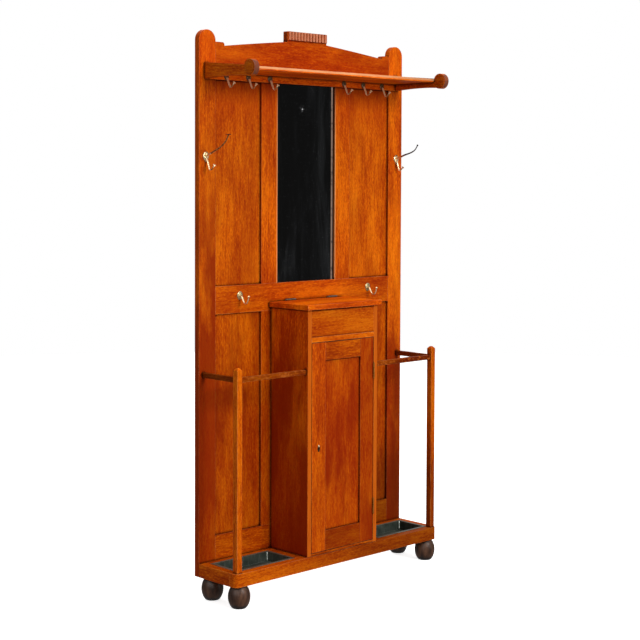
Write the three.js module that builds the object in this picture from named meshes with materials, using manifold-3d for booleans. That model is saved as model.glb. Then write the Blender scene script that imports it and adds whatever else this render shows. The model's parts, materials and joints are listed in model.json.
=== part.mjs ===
// Oak hall stand: a panelled frame with a mirror, a hat shelf on brackets, a cupboard with a
// glove box over it, and an umbrella stand with a drip tray on each side, on ball feet.
// Millimetres. +Z is up, +Y points at the wall, and the origin is under the middle of the
// object, on the floor.

import * as THREE from 'three';
import { mergeVertices } from 'three/addons/utils/BufferGeometryUtils.js';
import Module from 'manifold-3d';

const wasm = await Module();
wasm.setup();

// ---------------------------------------------------------------- driving dimensions
const WIDTH = 1006;
const DEPTH = 281;
const HALF_WIDTH = WIDTH / 2;

// Panelled frame
const FRAME_THICKNESS = 22;
const FACE_Y = DEPTH / 2 - FRAME_THICKNESS;
const WALL_Y = DEPTH / 2;
const POST_WIDTH = 73;
const POST_TOP = 1950;
const FRAME_BOTTOM = 76;
const BOTTOM_RAIL_TOP = 208;
const MID_RAIL_BOTTOM = 975;
const MID_RAIL_TOP = 1072;
const TOP_RAIL_BOTTOM = 1787;
const MIRROR_HALF_WIDTH = 143.5;
const MUNTIN_WIDTH = 75.5;
const PANEL_RECESS = 8;
const PANEL_THICKNESS = 7;
const PANEL_TONGUE = 6;
const GLASS_THICKNESS = 5;
const TENON_THICKNESS = 8;
const TENON_LENGTH = 40;
const TENON_SHOULDER = 12;
const STUB_LENGTH = 15;

// Top rail: a low gable between two small ears, with a neck for the crest cap
const EAR_TOP = 1911;
const EAR_LENGTH = 40;
const EAR_RADIUS = 10;
const GABLE_FOOT = 1899.5;
const GABLE_TOP = 1932;
const GABLE_BULGE = 2;
const NECK_HALF_WIDTH = 97;
const NECK_TOP = 1939;

// Crest cap
const CAP_WIDTH = 198;
const CAP_HEIGHT = 31;
const CAP_PROUD = 7;
const CAP_FRONT_REEDS = 13;
const CAP_SIDE_REEDS = 2;
const REED_RISE = 3.5;
const REED_STEPS = 6;

// Hat shelf
const HOOK_RAIL_BOTTOM = 1782;
const HOOK_RAIL_THICKNESS = 5;
const SHELF_BOTTOM = 1806;
const SHELF_THICKNESS = 12;
const SHELF_REACH = 206;
const BRACKET_THICKNESS = 21;
const BRACKET_INSET = 23;
const BRACKET_ROOT_BOTTOM = 1782;
const BRACKET_ROOT_TOP = 1838;
const ROUNDEL_RADIUS = 28;
const ROUNDEL_REACH = DEPTH - FRAME_THICKNESS - ROUNDEL_RADIUS;
const ROUNDEL_HEIGHT = 1809;
const ROUNDEL_JOINS = { underside: Math.PI / 3, top: Math.PI / 8 };
const BRACKET_ARCH = { reach: 120, height: 1792 };

// Base
const BASE_TOP = 122;
const BASE_REACH = 196;
const BASE_RAIL_WIDTH = 35;
const BASE_BACK_RAIL_WIDTH = 32;
const BASE_CORNER_RADIUS = 20;
const FLOOR_THICKNESS = 18;
const FLOOR_HALF_WIDTH = 216;
const FLOOR_STEP = 9;

// Cabinet
const CABINET_HALF_WIDTH = 173;
const CABINET_REACH = 193;
const SIDE_THICKNESS = 18;
const CABINET_TOP = 988;
const GLOVE_FLOOR_BOTTOM = 873;
const GLOVE_FLOOR_THICKNESS = 18;
const LID_THICKNESS = 18;
const LID_HALF_WIDTH = 184;
const LID_REACH = 205;
const LID_BACK_GAP = 2.6;

// Door
const DOOR_THICKNESS = 19;
const DOOR_GAP = 2;
const DOOR_HINGE_GAP = 2.4;
const DOOR_STILE_WIDTH = 66;
const DOOR_TOP_RAIL = 64;
const DOOR_BOTTOM_RAIL = 71;
const DOOR_PANEL_RECESS = 6;
const DOOR_PANEL_THICKNESS = 6;
const DOOR_TENON_THICKNESS = 7;
const DOOR_TENON_LENGTH = 25;

// Lock
const LOCK_HEIGHT = 500;
const KEYHOLE_INSET = 33;
const KEYHOLE_RADIUS = 2.6;
const KEYHOLE_SLOT = { width: 2.6, drop: 8 };
const BOLT = { length: 25, width: 16, thickness: 6, depth: 7 };
const BOLT_THROW = 8;
const BOLT_CLEARANCE = 0.5;

// Hinges
const LEAF_THICKNESS = 1.1;
const DOOR_HINGE = { length: 56, leaf: 19, radius: 2.8, proud: 3, knuckles: 5 };
const DOOR_HINGE_HEIGHTS = { upper: 750, lower: 256 };
const LID_HINGE = { length: 50, leaf: 14, radius: 2.8, knuckles: 5 };
const LID_HINGE_CENTRES = { left: -81, right: 128 };
const LID_PIN = { reach: 3.4, rise: 3.3 };
const KNUCKLE_GAP = 0.4;

// Umbrella stands
const UMBRELLA_POST = { size: 22, insetX: 10, insetY: 6, shoulder: 804, peak: 812, flat: 8 };
const UMBRELLA_TENON = { size: 12, length: 25 };
const UMBRELLA_RAIL = { thickness: 16, height: 17, top: 780 };
const RAIL_STUB = { size: 10, length: 5 };

// Drip trays
const TRAY_WALL = 1.5;
const TRAY_DEPTH = 33;
const TRAY_TAPER = 3;
const TRAY_SLACK = 2;
const TRAY_FLANGE = 6;

// Ball feet
const FOOT = { radius: 38, flat: 24, insetX: 38, frontReach: 168, backReach: 28, steps: 10 };

// Hooks
const SMALL_HOOK = { spacing: 101, inner: 184, height: 1795, plate: [11, 10.5, 1.6], wire: [2.8, 1.6] };
const MID_HOOK = { centre: 319, height: 1035, plate: [12.5, 15, 2], wire: [2.9, 2.1], tip: 4.3 };
const COAT_HOOK = { centre: 473, height: 1518, plate: [12.5, 18, 2.5], wire: [2.7, 2.1] };
const HOOK_BUTTON = { radius: 5.4, thickness: 2.2, lean: Math.PI / 4 };
const HAT_BUTTON = { radius: 9.6, thickness: 3, lean: Math.PI / 2 };
const HAT_KNOB_RADIUS = 3.4;

// ---------------------------------------------------------------- materials
function finish(color, roughness, metalness) {
  return new THREE.MeshStandardMaterial({ color, roughness, metalness });
}
const oak = () => finish(0xb8560f, 0.42, 0);
const darkWood = () => finish(0x3a2418, 0.4, 0);
const brass = () => finish(0xb08d4c, 0.32, 1);
const zinc = () => finish(0x4a524a, 0.5, 0.8);
const mirror = () => finish(0x101214, 0.05, 1);

// ---------------------------------------------------------------- solids
function solid(geometry) {
  const bare = geometry.clone();
  bare.deleteAttribute('normal');
  bare.deleteAttribute('uv');
  const merged = mergeVertices(bare, 1e-4);
  const vertProperties = new Float32Array(merged.attributes.position.array);
  const triVerts = new Uint32Array(merged.index.array);
  return new wasm.Manifold(new wasm.Mesh({ numProp: 3, vertProperties, triVerts }));
}

function geometryOf(manifold) {
  const mesh = manifold.getMesh();
  const geometry = new THREE.BufferGeometry();
  geometry.setAttribute('position', new THREE.BufferAttribute(mesh.vertProperties, 3));
  geometry.setIndex(new THREE.BufferAttribute(mesh.triVerts, 1));
  geometry.computeVertexNormals();
  return geometry;
}

function cut(geometry, ...tools) {
  return geometryOf(tools.reduce((body, tool) => body.subtract(solid(tool)), solid(geometry)));
}

function join(geometry, ...others) {
  return geometryOf(others.reduce((body, other) => body.add(solid(other)), solid(geometry)));
}

// A box between two limits on each axis, given in either order.
function box([x0, x1], [y0, y1], [z0, z1]) {
  const geometry = new THREE.BoxGeometry(Math.abs(x1 - x0), Math.abs(y1 - y0), Math.abs(z1 - z0));
  return geometry.translate((x0 + x1) / 2, (y0 + y1) / 2, (z0 + z1) / 2);
}

// An outline drawn on X and Z, given thickness along Y from the y0 plane towards the wall.
function frontOutline(shape, y0, thickness, curveSegments = 12) {
  const geometry = new THREE.ExtrudeGeometry(shape, { depth: thickness, bevelEnabled: false, curveSegments });
  return geometry.rotateX(Math.PI / 2).translate(0, y0 + thickness, 0);
}

// An outline drawn on Y and Z, given thickness along X from x0.
function sideOutline(shape, x0, thickness, curveSegments = 12) {
  const geometry = new THREE.ExtrudeGeometry(shape, { depth: thickness, bevelEnabled: false, curveSegments });
  return geometry.rotateX(Math.PI / 2).rotateZ(Math.PI / 2).translate(x0, 0, 0);
}

// An outline drawn on X and Y, given height along Z from z0.
function planOutline(shape, z0, height, curveSegments = 8) {
  const geometry = new THREE.ExtrudeGeometry(shape, { depth: height, bevelEnabled: false, curveSegments });
  return geometry.translate(0, 0, z0);
}

// A box whose lower end is smaller all round by the taper.
function taperedBox(xs, ys, zs, taper) {
  const geometry = box(xs, ys, zs);
  const position = geometry.attributes.position;
  const middleX = (xs[0] + xs[1]) / 2;
  const middleY = (ys[0] + ys[1]) / 2;
  for (let i = 0; i < position.count; i += 1) {
    if (position.getZ(i) < (zs[0] + zs[1]) / 2) {
      position.setX(i, position.getX(i) - Math.sign(position.getX(i) - middleX) * taper);
      position.setY(i, position.getY(i) - Math.sign(position.getY(i) - middleY) * taper);
    }
  }
  return geometry;
}

const hallStand = new THREE.Group();

function add(name, geometry, material, place = [0, 0, 0]) {
  const mesh = new THREE.Mesh(geometry, material);
  mesh.name = name;
  mesh.position.set(...place);
  hallStand.add(mesh);
}

// The place on Y that lies this far in front of the frame's face.
const inFront = (reach) => FACE_Y - reach;
const SIDES = [['left', -1], ['right', 1]];

// ---------------------------------------------------------------- what the frame holds
const POST_INNER = HALF_WIDTH - POST_WIDTH;
const MUNTIN_OUTER = MIRROR_HALF_WIDTH + MUNTIN_WIDTH;
const FRAME_YS = [FACE_Y, WALL_Y];
const PANEL_YS = [FACE_Y + PANEL_RECESS, FACE_Y + PANEL_RECESS + PANEL_THICKNESS];
const GLASS_YS = [FACE_Y + PANEL_RECESS, FACE_Y + PANEL_RECESS + GLASS_THICKNESS];

function withTongue([low, high]) {
  return [low - PANEL_TONGUE, high + PANEL_TONGUE];
}

const panels = {};
for (const [side, sign] of SIDES) {
  const edges = [sign * MUNTIN_OUTER, sign * POST_INNER].sort((a, b) => a - b);
  panels[`upper_panel_${side}`] = [edges, [MID_RAIL_TOP, TOP_RAIL_BOTTOM]];
  panels[`lower_panel_${side}`] = [edges, [BOTTOM_RAIL_TOP, MID_RAIL_BOTTOM]];
}
panels.lower_panel_centre = [[-MIRROR_HALF_WIDTH, MIRROR_HALF_WIDTH], [BOTTOM_RAIL_TOP, MID_RAIL_BOTTOM]];

const grooves = Object.values(panels).map(([xs, zs]) => box(withTongue(xs), PANEL_YS, withTongue(zs)));
const mirrorXs = withTongue([-MIRROR_HALF_WIDTH, MIRROR_HALF_WIDTH]);
const mirrorZs = withTongue([MID_RAIL_TOP, TOP_RAIL_BOTTOM]);
const mirrorRebate = box(mirrorXs, [FACE_Y + PANEL_RECESS, WALL_Y], mirrorZs);
const infills = [...grooves, mirrorRebate];

for (const [name, [xs, zs]] of Object.entries(panels)) {
  add(name, box(withTongue(xs), PANEL_YS, withTongue(zs)), oak());
}
add('mirror_glass', box(mirrorXs, GLASS_YS, mirrorZs), mirror());

// ---------------------------------------------------------------- panelled frame
const frameMiddleY = FACE_Y + FRAME_THICKNESS / 2;
const tenonYs = [frameMiddleY - TENON_THICKNESS / 2, frameMiddleY + TENON_THICKNESS / 2];

function railTenons(z0, z1) {
  return SIDES.map(([, sign]) => box(
    [sign * POST_INNER, sign * (POST_INNER + TENON_LENGTH)],
    tenonYs,
    [z0 + TENON_SHOULDER, z1 - TENON_SHOULDER],
  ));
}

const topTenons = railTenons(TOP_RAIL_BOTTOM, GABLE_FOOT);
const midTenons = railTenons(MID_RAIL_BOTTOM, MID_RAIL_TOP);
const bottomTenons = railTenons(FRAME_BOTTOM, BOTTOM_RAIL_TOP);
const muntinStubs = SIDES.flatMap(([, sign]) => {
  const xs = [sign * (MIRROR_HALF_WIDTH + TENON_SHOULDER), sign * (MUNTIN_OUTER - TENON_SHOULDER)];
  return [
    box(xs, tenonYs, [BOTTOM_RAIL_TOP - STUB_LENGTH, BOTTOM_RAIL_TOP]),
    box(xs, tenonYs, [TOP_RAIL_BOTTOM, TOP_RAIL_BOTTOM + STUB_LENGTH]),
  ];
});

// Each post carries two rail stubs from the umbrella stand at its side, so its face is cut for one.
const railZs = [UMBRELLA_RAIL.top - UMBRELLA_RAIL.height, UMBRELLA_RAIL.top];
const railMiddleZ = (railZs[0] + railZs[1]) / 2;
const stubZs = [railMiddleZ - RAIL_STUB.size / 2, railMiddleZ + RAIL_STUB.size / 2];
const umbrellaX = HALF_WIDTH - UMBRELLA_POST.insetX - UMBRELLA_POST.size / 2;
const umbrellaReach = BASE_REACH - UMBRELLA_POST.insetY - UMBRELLA_POST.size / 2;
const umbrellaBackReach = umbrellaReach - UMBRELLA_POST.size / 2;

function sideRailStub(sign, reach) {
  const xs = [sign * umbrellaX - RAIL_STUB.size / 2, sign * umbrellaX + RAIL_STUB.size / 2];
  return box(xs, [inFront(reach), inFront(reach - RAIL_STUB.length)], stubZs);
}

function frontRailStub(sign, x) {
  const ys = [inFront(umbrellaReach) - RAIL_STUB.size / 2, inFront(umbrellaReach) + RAIL_STUB.size / 2];
  return box([sign * x, sign * (x + RAIL_STUB.length)], ys, stubZs);
}

for (const [side, sign] of SIDES) {
  const middle = sign * (HALF_WIDTH - POST_WIDTH / 2);
  const outline = new THREE.Shape();
  outline.moveTo(middle - POST_WIDTH / 2, FRAME_BOTTOM);
  outline.lineTo(middle + POST_WIDTH / 2, FRAME_BOTTOM);
  outline.lineTo(middle + POST_WIDTH / 2, POST_TOP - POST_WIDTH / 2);
  outline.absarc(middle, POST_TOP - POST_WIDTH / 2, POST_WIDTH / 2, 0, Math.PI, false);
  const post = frontOutline(outline, FACE_Y, FRAME_THICKNESS);
  const mortises = [...topTenons, ...midTenons, ...bottomTenons, sideRailStub(sign, 0)];
  add(`post_${side}`, cut(post, ...infills, ...mortises), oak());
}

function topRailOutline() {
  const outline = new THREE.Shape();
  const earEnd = POST_INNER - EAR_LENGTH;
  const flankMiddle = (earEnd + NECK_HALF_WIDTH) / 2;
  const flankHeight = (GABLE_FOOT + GABLE_TOP) / 2 + GABLE_BULGE;
  outline.moveTo(-POST_INNER, TOP_RAIL_BOTTOM);
  outline.lineTo(POST_INNER, TOP_RAIL_BOTTOM);
  outline.lineTo(POST_INNER, EAR_TOP);
  outline.lineTo(earEnd + EAR_RADIUS, EAR_TOP);
  outline.quadraticCurveTo(earEnd, EAR_TOP, earEnd, GABLE_FOOT);
  outline.quadraticCurveTo(flankMiddle, flankHeight, NECK_HALF_WIDTH, GABLE_TOP);
  outline.lineTo(NECK_HALF_WIDTH, NECK_TOP);
  outline.lineTo(-NECK_HALF_WIDTH, NECK_TOP);
  outline.lineTo(-NECK_HALF_WIDTH, GABLE_TOP);
  outline.quadraticCurveTo(-flankMiddle, flankHeight, -earEnd, GABLE_FOOT);
  outline.quadraticCurveTo(-earEnd, EAR_TOP, -earEnd - EAR_RADIUS, EAR_TOP);
  outline.lineTo(-POST_INNER, EAR_TOP);
  return outline;
}

const topRail = join(frontOutline(topRailOutline(), FACE_Y, FRAME_THICKNESS, 8), ...topTenons);
add('top_rail', cut(topRail, ...infills, ...muntinStubs), oak());

const halfLapYs = [frameMiddleY, WALL_Y];
const muntinXs = (sign) => [sign * MIRROR_HALF_WIDTH, sign * MUNTIN_OUTER];
const laps = SIDES.map(([, sign]) => box(muntinXs(sign), halfLapYs, [MID_RAIL_BOTTOM, MID_RAIL_TOP]));
const railXs = [-POST_INNER, POST_INNER];
const midRail = join(box(railXs, FRAME_YS, [MID_RAIL_BOTTOM, MID_RAIL_TOP]), ...midTenons);
add('mid_rail', cut(midRail, ...infills, ...laps), oak());

const bottomRail = join(box(railXs, FRAME_YS, [FRAME_BOTTOM, BOTTOM_RAIL_TOP]), ...bottomTenons);
add('bottom_rail', cut(bottomRail, ...infills, ...muntinStubs), oak());

SIDES.forEach(([side, sign], index) => {
  const body = box(muntinXs(sign), FRAME_YS, [BOTTOM_RAIL_TOP, TOP_RAIL_BOTTOM]);
  const stubs = muntinStubs.slice(2 * index, 2 * index + 2);
  const frontHalf = box(muntinXs(sign), [FACE_Y, halfLapYs[0]], [MID_RAIL_BOTTOM, MID_RAIL_TOP]);
  add(`muntin_${side}`, cut(join(body, ...stubs), ...infills, frontHalf), oak());
});

// ---------------------------------------------------------------- crest cap, reeded on three sides
function reededOutline() {
  const left = -CAP_WIDTH / 2 + REED_RISE;
  const right = CAP_WIDTH / 2 - REED_RISE;
  const front = inFront(CAP_PROUD) + REED_RISE;
  const points = [];
  function reeds(from, to, count, outX, outY) {
    for (let i = 0; i < count * REED_STEPS; i += 1) {
      const along = i / (count * REED_STEPS);
      const rise = REED_RISE * Math.abs(Math.sin(Math.PI * along * count));
      const x = from[0] + (to[0] - from[0]) * along + outX * rise;
      const y = from[1] + (to[1] - from[1]) * along + outY * rise;
      points.push([x, y]);
    }
  }
  reeds([left, WALL_Y], [left, front], CAP_SIDE_REEDS, -1, 0);
  reeds([left, front], [right, front], CAP_FRONT_REEDS, 0, -1);
  reeds([right, front], [right, WALL_Y], CAP_SIDE_REEDS, 1, 0);
  points.push([right, WALL_Y]);
  return new THREE.Shape(points.map(([x, y]) => new THREE.Vector2(x, y)));
}
add('crest_cap', planOutline(reededOutline(), NECK_TOP, CAP_HEIGHT), oak());

// ---------------------------------------------------------------- hat shelf, brackets and hook rail
const bracketOuter = HALF_WIDTH - BRACKET_INSET;
const bracketInner = bracketOuter - BRACKET_THICKNESS;

function bracketOutline() {
  const arch = [inFront(BRACKET_ARCH.reach), BRACKET_ARCH.height];
  const underside = [
    inFront(ROUNDEL_REACH - ROUNDEL_RADIUS * Math.cos(ROUNDEL_JOINS.underside)),
    ROUNDEL_HEIGHT - ROUNDEL_RADIUS * Math.sin(ROUNDEL_JOINS.underside),
  ];
  const outline = new THREE.Shape();
  outline.moveTo(inFront(0), BRACKET_ROOT_BOTTOM);
  outline.quadraticCurveTo(...arch, ...underside);
  const angles = [-ROUNDEL_JOINS.underside, ROUNDEL_JOINS.top];
  outline.absarc(inFront(ROUNDEL_REACH), ROUNDEL_HEIGHT, ROUNDEL_RADIUS, ...angles, true);
  outline.lineTo(inFront(0), BRACKET_ROOT_TOP);
  return outline;
}

add('shelf_bracket_left', sideOutline(bracketOutline(), -bracketOuter, BRACKET_THICKNESS, 20), oak());
add('shelf_bracket_right', sideOutline(bracketOutline(), bracketInner, BRACKET_THICKNESS, 20), oak());

const shelfXs = [-bracketInner, bracketInner];
const shelfZs = [SHELF_BOTTOM, SHELF_BOTTOM + SHELF_THICKNESS];
add('hat_shelf', box(shelfXs, [inFront(SHELF_REACH), FACE_Y], shelfZs), oak());
const hookRailYs = [inFront(HOOK_RAIL_THICKNESS), FACE_Y];
add('hook_rail', box(shelfXs, hookRailYs, [HOOK_RAIL_BOTTOM, SHELF_BOTTOM]), oak());

// ---------------------------------------------------------------- base
const baseZs = [FRAME_BOTTOM, BASE_TOP];
const baseInner = HALF_WIDTH - BASE_RAIL_WIDTH;
const frontRailBack = BASE_REACH - BASE_RAIL_WIDTH;

const umbrellaTenons = SIDES.map(([, sign]) => {
  const half = UMBRELLA_TENON.size / 2;
  const xs = [sign * umbrellaX - half, sign * umbrellaX + half];
  const ys = [inFront(umbrellaReach) - half, inFront(umbrellaReach) + half];
  return box(xs, ys, [BASE_TOP - UMBRELLA_TENON.length, BASE_TOP]);
});

const frontRail = new THREE.Shape();
frontRail.moveTo(-HALF_WIDTH, inFront(frontRailBack));
frontRail.lineTo(HALF_WIDTH, inFront(frontRailBack));
const cornerX = HALF_WIDTH - BASE_CORNER_RADIUS;
const cornerY = inFront(BASE_REACH - BASE_CORNER_RADIUS);
frontRail.absarc(cornerX, cornerY, BASE_CORNER_RADIUS, 0, -Math.PI / 2, true);
frontRail.absarc(-cornerX, cornerY, BASE_CORNER_RADIUS, -Math.PI / 2, -Math.PI, true);
const baseHeight = BASE_TOP - FRAME_BOTTOM;
add('base_front_rail', cut(planOutline(frontRail, FRAME_BOTTOM, baseHeight), ...umbrellaTenons), oak());
add('base_back_rail', box([-baseInner, baseInner], [inFront(BASE_BACK_RAIL_WIDTH), FACE_Y], baseZs), oak());
for (const [side, sign] of SIDES) {
  const rail = box([sign * baseInner, sign * HALF_WIDTH], [inFront(frontRailBack), FACE_Y], baseZs);
  add(`base_end_rail_${side}`, rail, oak());
}

const cabinetInner = CABINET_HALF_WIDTH - SIDE_THICKNESS;
const floorYs = [inFront(frontRailBack), inFront(BASE_BACK_RAIL_WIDTH)];
const floorZs = [BASE_TOP - FLOOR_THICKNESS, BASE_TOP];
const floorBoard = box([-FLOOR_HALF_WIDTH, FLOOR_HALF_WIDTH], floorYs, floorZs);
const cabinetYs = [inFront(CABINET_REACH), FACE_Y];
const floorField = box([-cabinetInner, cabinetInner], cabinetYs, [BASE_TOP, BASE_TOP + FLOOR_STEP]);
add('cabinet_floor', join(floorBoard, floorField), oak());

// ---------------------------------------------------------------- cabinet and glove box
const doorLeft = -cabinetInner + DOOR_GAP;
const doorRight = cabinetInner - DOOR_HINGE_GAP;
const doorBottom = BASE_TOP + FLOOR_STEP + DOOR_GAP;
const doorTop = GLOVE_FLOOR_BOTTOM - DOOR_GAP;
const boltYs = [
  inFront(CABINET_REACH - BOLT.depth),
  inFront(CABINET_REACH - BOLT.depth - BOLT.thickness),
];
const boltZs = [LOCK_HEIGHT - BOLT.width / 2, LOCK_HEIGHT + BOLT.width / 2];
const widened = ([low, high], slack) => [low - slack, high + slack];

const strikePocket = box(
  [-cabinetInner, -cabinetInner - BOLT_THROW + DOOR_GAP - BOLT_CLEARANCE],
  widened(boltYs, BOLT_CLEARANCE),
  widened(boltZs, BOLT_CLEARANCE),
);

for (const [side, sign] of SIDES) {
  const board = box([sign * cabinetInner, sign * CABINET_HALF_WIDTH], cabinetYs, [BASE_TOP, CABINET_TOP]);
  const railSocket = frontRailStub(sign, CABINET_HALF_WIDTH - RAIL_STUB.length);
  add(`cabinet_side_${side}`, cut(board, railSocket, strikePocket), oak());
}

const gloveFloorTop = GLOVE_FLOOR_BOTTOM + GLOVE_FLOOR_THICKNESS;
const insideXs = [-cabinetInner, cabinetInner];
const gloveFrontYs = [inFront(CABINET_REACH), inFront(CABINET_REACH - SIDE_THICKNESS)];
add('glove_box_floor', box(insideXs, cabinetYs, [GLOVE_FLOOR_BOTTOM, gloveFloorTop]), oak());
add('glove_box_front', box(insideXs, gloveFrontYs, [gloveFloorTop, CABINET_TOP]), oak());

const lidYs = [inFront(LID_REACH), inFront(LID_BACK_GAP)];
const lidZs = [CABINET_TOP, CABINET_TOP + LID_THICKNESS];
add('glove_box_lid', box([-LID_HALF_WIDTH, LID_HALF_WIDTH], lidYs, lidZs), oak());

// ---------------------------------------------------------------- cupboard door
const doorYs = [inFront(CABINET_REACH), inFront(CABINET_REACH - DOOR_THICKNESS)];
const doorPanelYs = [
  inFront(CABINET_REACH - DOOR_PANEL_RECESS),
  inFront(CABINET_REACH - DOOR_PANEL_RECESS - DOOR_PANEL_THICKNESS),
];
const doorTenonYs = [
  inFront(CABINET_REACH - (DOOR_THICKNESS - DOOR_TENON_THICKNESS) / 2),
  inFront(CABINET_REACH - (DOOR_THICKNESS + DOOR_TENON_THICKNESS) / 2),
];
const fieldLeft = doorLeft + DOOR_STILE_WIDTH;
const fieldRight = doorRight - DOOR_STILE_WIDTH;
const fieldBottom = doorBottom + DOOR_BOTTOM_RAIL;
const fieldTop = doorTop - DOOR_TOP_RAIL;

const doorPanel = box(withTongue([fieldLeft, fieldRight]), doorPanelYs, withTongue([fieldBottom, fieldTop]));
const doorTenonXs = [fieldLeft - DOOR_TENON_LENGTH, fieldRight + DOOR_TENON_LENGTH];
const topDoorTenon = box(doorTenonXs, doorTenonYs, widened([fieldTop, doorTop], -TENON_SHOULDER));
const bottomDoorTenon = box(doorTenonXs, doorTenonYs, widened([doorBottom, fieldBottom], -TENON_SHOULDER));

const boltSlot = box(
  [doorLeft, doorLeft + BOLT.length + BOLT_CLEARANCE],
  widened(boltYs, BOLT_CLEARANCE),
  widened(boltZs, BOLT_CLEARANCE),
);
const keyholeX = doorLeft + KEYHOLE_INSET;
const keyholeYs = [doorYs[0], boltYs[1]];
const keyholeLength = keyholeYs[1] - keyholeYs[0];
const keyholeRound = new THREE.CylinderGeometry(KEYHOLE_RADIUS, KEYHOLE_RADIUS, keyholeLength, 12)
  .translate(keyholeX, (keyholeYs[0] + keyholeYs[1]) / 2, LOCK_HEIGHT);
const keyholeDrop = box(
  [keyholeX - KEYHOLE_SLOT.width / 2, keyholeX + KEYHOLE_SLOT.width / 2],
  keyholeYs,
  [LOCK_HEIGHT - KEYHOLE_SLOT.drop, LOCK_HEIGHT],
);

function doorStile(x0, x1, ...cuts) {
  return cut(box([x0, x1], doorYs, [doorBottom, doorTop]), doorPanel, topDoorTenon, bottomDoorTenon, ...cuts);
}
add('door_stile_lock', doorStile(doorLeft, fieldLeft, boltSlot, keyholeRound, keyholeDrop), oak());
add('door_stile_hinge', doorStile(fieldRight, doorRight), oak());

function doorRail(z0, z1, tenon) {
  return cut(join(box([fieldLeft, fieldRight], doorYs, [z0, z1]), tenon), doorPanel);
}
add('door_rail_top', doorRail(fieldTop, doorTop, topDoorTenon), oak());
add('door_rail_bottom', doorRail(doorBottom, fieldBottom, bottomDoorTenon), oak());
add('door_panel', doorPanel, oak());
add('lock_bolt', box([doorLeft, doorLeft + BOLT.length], boltYs, boltZs), brass());

// ---------------------------------------------------------------- butt hinges: fixed leaf and its knuckles
// Every other knuckle, first and last included, belongs to the fixed leaf.
function hingeKnuckles(hinge) {
  const pitch = hinge.length / hinge.knuckles;
  const barrels = [];
  for (let i = 0; i < hinge.knuckles; i += 2) {
    const length = pitch - KNUCKLE_GAP;
    const barrel = new THREE.CylinderGeometry(hinge.radius, hinge.radius, length, 16);
    barrels.push(barrel.translate(0, (i + 0.5) * pitch - hinge.length / 2, 0));
  }
  return barrels;
}

const doorPinX = cabinetInner - DOOR_HINGE_GAP / 2;
const doorPinReach = CABINET_REACH + DOOR_HINGE.proud;
for (const [place, height] of Object.entries(DOOR_HINGE_HEIGHTS)) {
  const half = DOOR_HINGE.length / 2;
  const leafXs = [cabinetInner - LEAF_THICKNESS, cabinetInner];
  const leafBack = inFront(CABINET_REACH - DOOR_HINGE.leaf);
  const leaf = box(leafXs, [inFront(CABINET_REACH), leafBack], [height - half, height + half]);
  const barrels = hingeKnuckles(DOOR_HINGE).map((barrel) => (
    barrel.rotateX(Math.PI / 2).translate(doorPinX, inFront(doorPinReach), height)
  ));
  const pitch = DOOR_HINGE.length / DOOR_HINGE.knuckles;
  const straps = barrels.map((barrel, i) => {
    const middle = height - half + (2 * i + 0.5) * pitch;
    const reach = (pitch - KNUCKLE_GAP) / 2;
    return box(leafXs, [inFront(doorPinReach), inFront(CABINET_REACH)], [middle - reach, middle + reach]);
  });
  add(`door_hinge_${place}`, join(leaf, ...straps, ...barrels), brass());
}

const lidPinZ = CABINET_TOP + LID_THICKNESS + LID_PIN.rise;
for (const [side, centre] of Object.entries(LID_HINGE_CENTRES)) {
  const half = LID_HINGE.length / 2;
  const leafYs = [inFront(LEAF_THICKNESS), FACE_Y];
  const leafTop = lidPinZ - LID_PIN.rise;
  const leaf = box([centre - half, centre + half], leafYs, [leafTop - LID_HINGE.leaf, leafTop]);
  const pitch = LID_HINGE.length / LID_HINGE.knuckles;
  const barrels = hingeKnuckles(LID_HINGE).map((barrel) => (
    barrel.rotateZ(Math.PI / 2).translate(centre, inFront(LID_PIN.reach), lidPinZ)
  ));
  const straps = barrels.map((barrel, i) => {
    const middle = centre - half + (2 * i + 0.5) * pitch;
    const reach = (pitch - KNUCKLE_GAP) / 2;
    return box([middle - reach, middle + reach], leafYs, [leafTop, lidPinZ + LEAF_THICKNESS]);
  });
  add(`lid_hinge_${side}`, join(leaf, ...straps, ...barrels), brass());
}

// ---------------------------------------------------------------- umbrella stands
const postHalf = UMBRELLA_POST.size / 2;

function umbrellaPost(sign, index) {
  const xs = [sign * umbrellaX - postHalf, sign * umbrellaX + postHalf];
  const ys = [inFront(umbrellaReach) - postHalf, inFront(umbrellaReach) + postHalf];
  const shaft = box(xs, ys, [BASE_TOP, UMBRELLA_POST.shoulder]);
  const rise = UMBRELLA_POST.peak - UMBRELLA_POST.shoulder;
  const capRadius = postHalf * Math.SQRT2;
  const flatRadius = UMBRELLA_POST.flat / Math.SQRT2;
  const cap = new THREE.CylinderGeometry(flatRadius, capRadius, rise, 4)
    .rotateX(Math.PI / 2)
    .rotateZ(Math.PI / 4)
    .translate(sign * umbrellaX, inFront(umbrellaReach), UMBRELLA_POST.shoulder + rise / 2);
  const sockets = [
    sideRailStub(sign, umbrellaBackReach + RAIL_STUB.length),
    frontRailStub(sign, umbrellaX - postHalf),
  ];
  return cut(join(shaft, cap, umbrellaTenons[index]), ...sockets);
}

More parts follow.
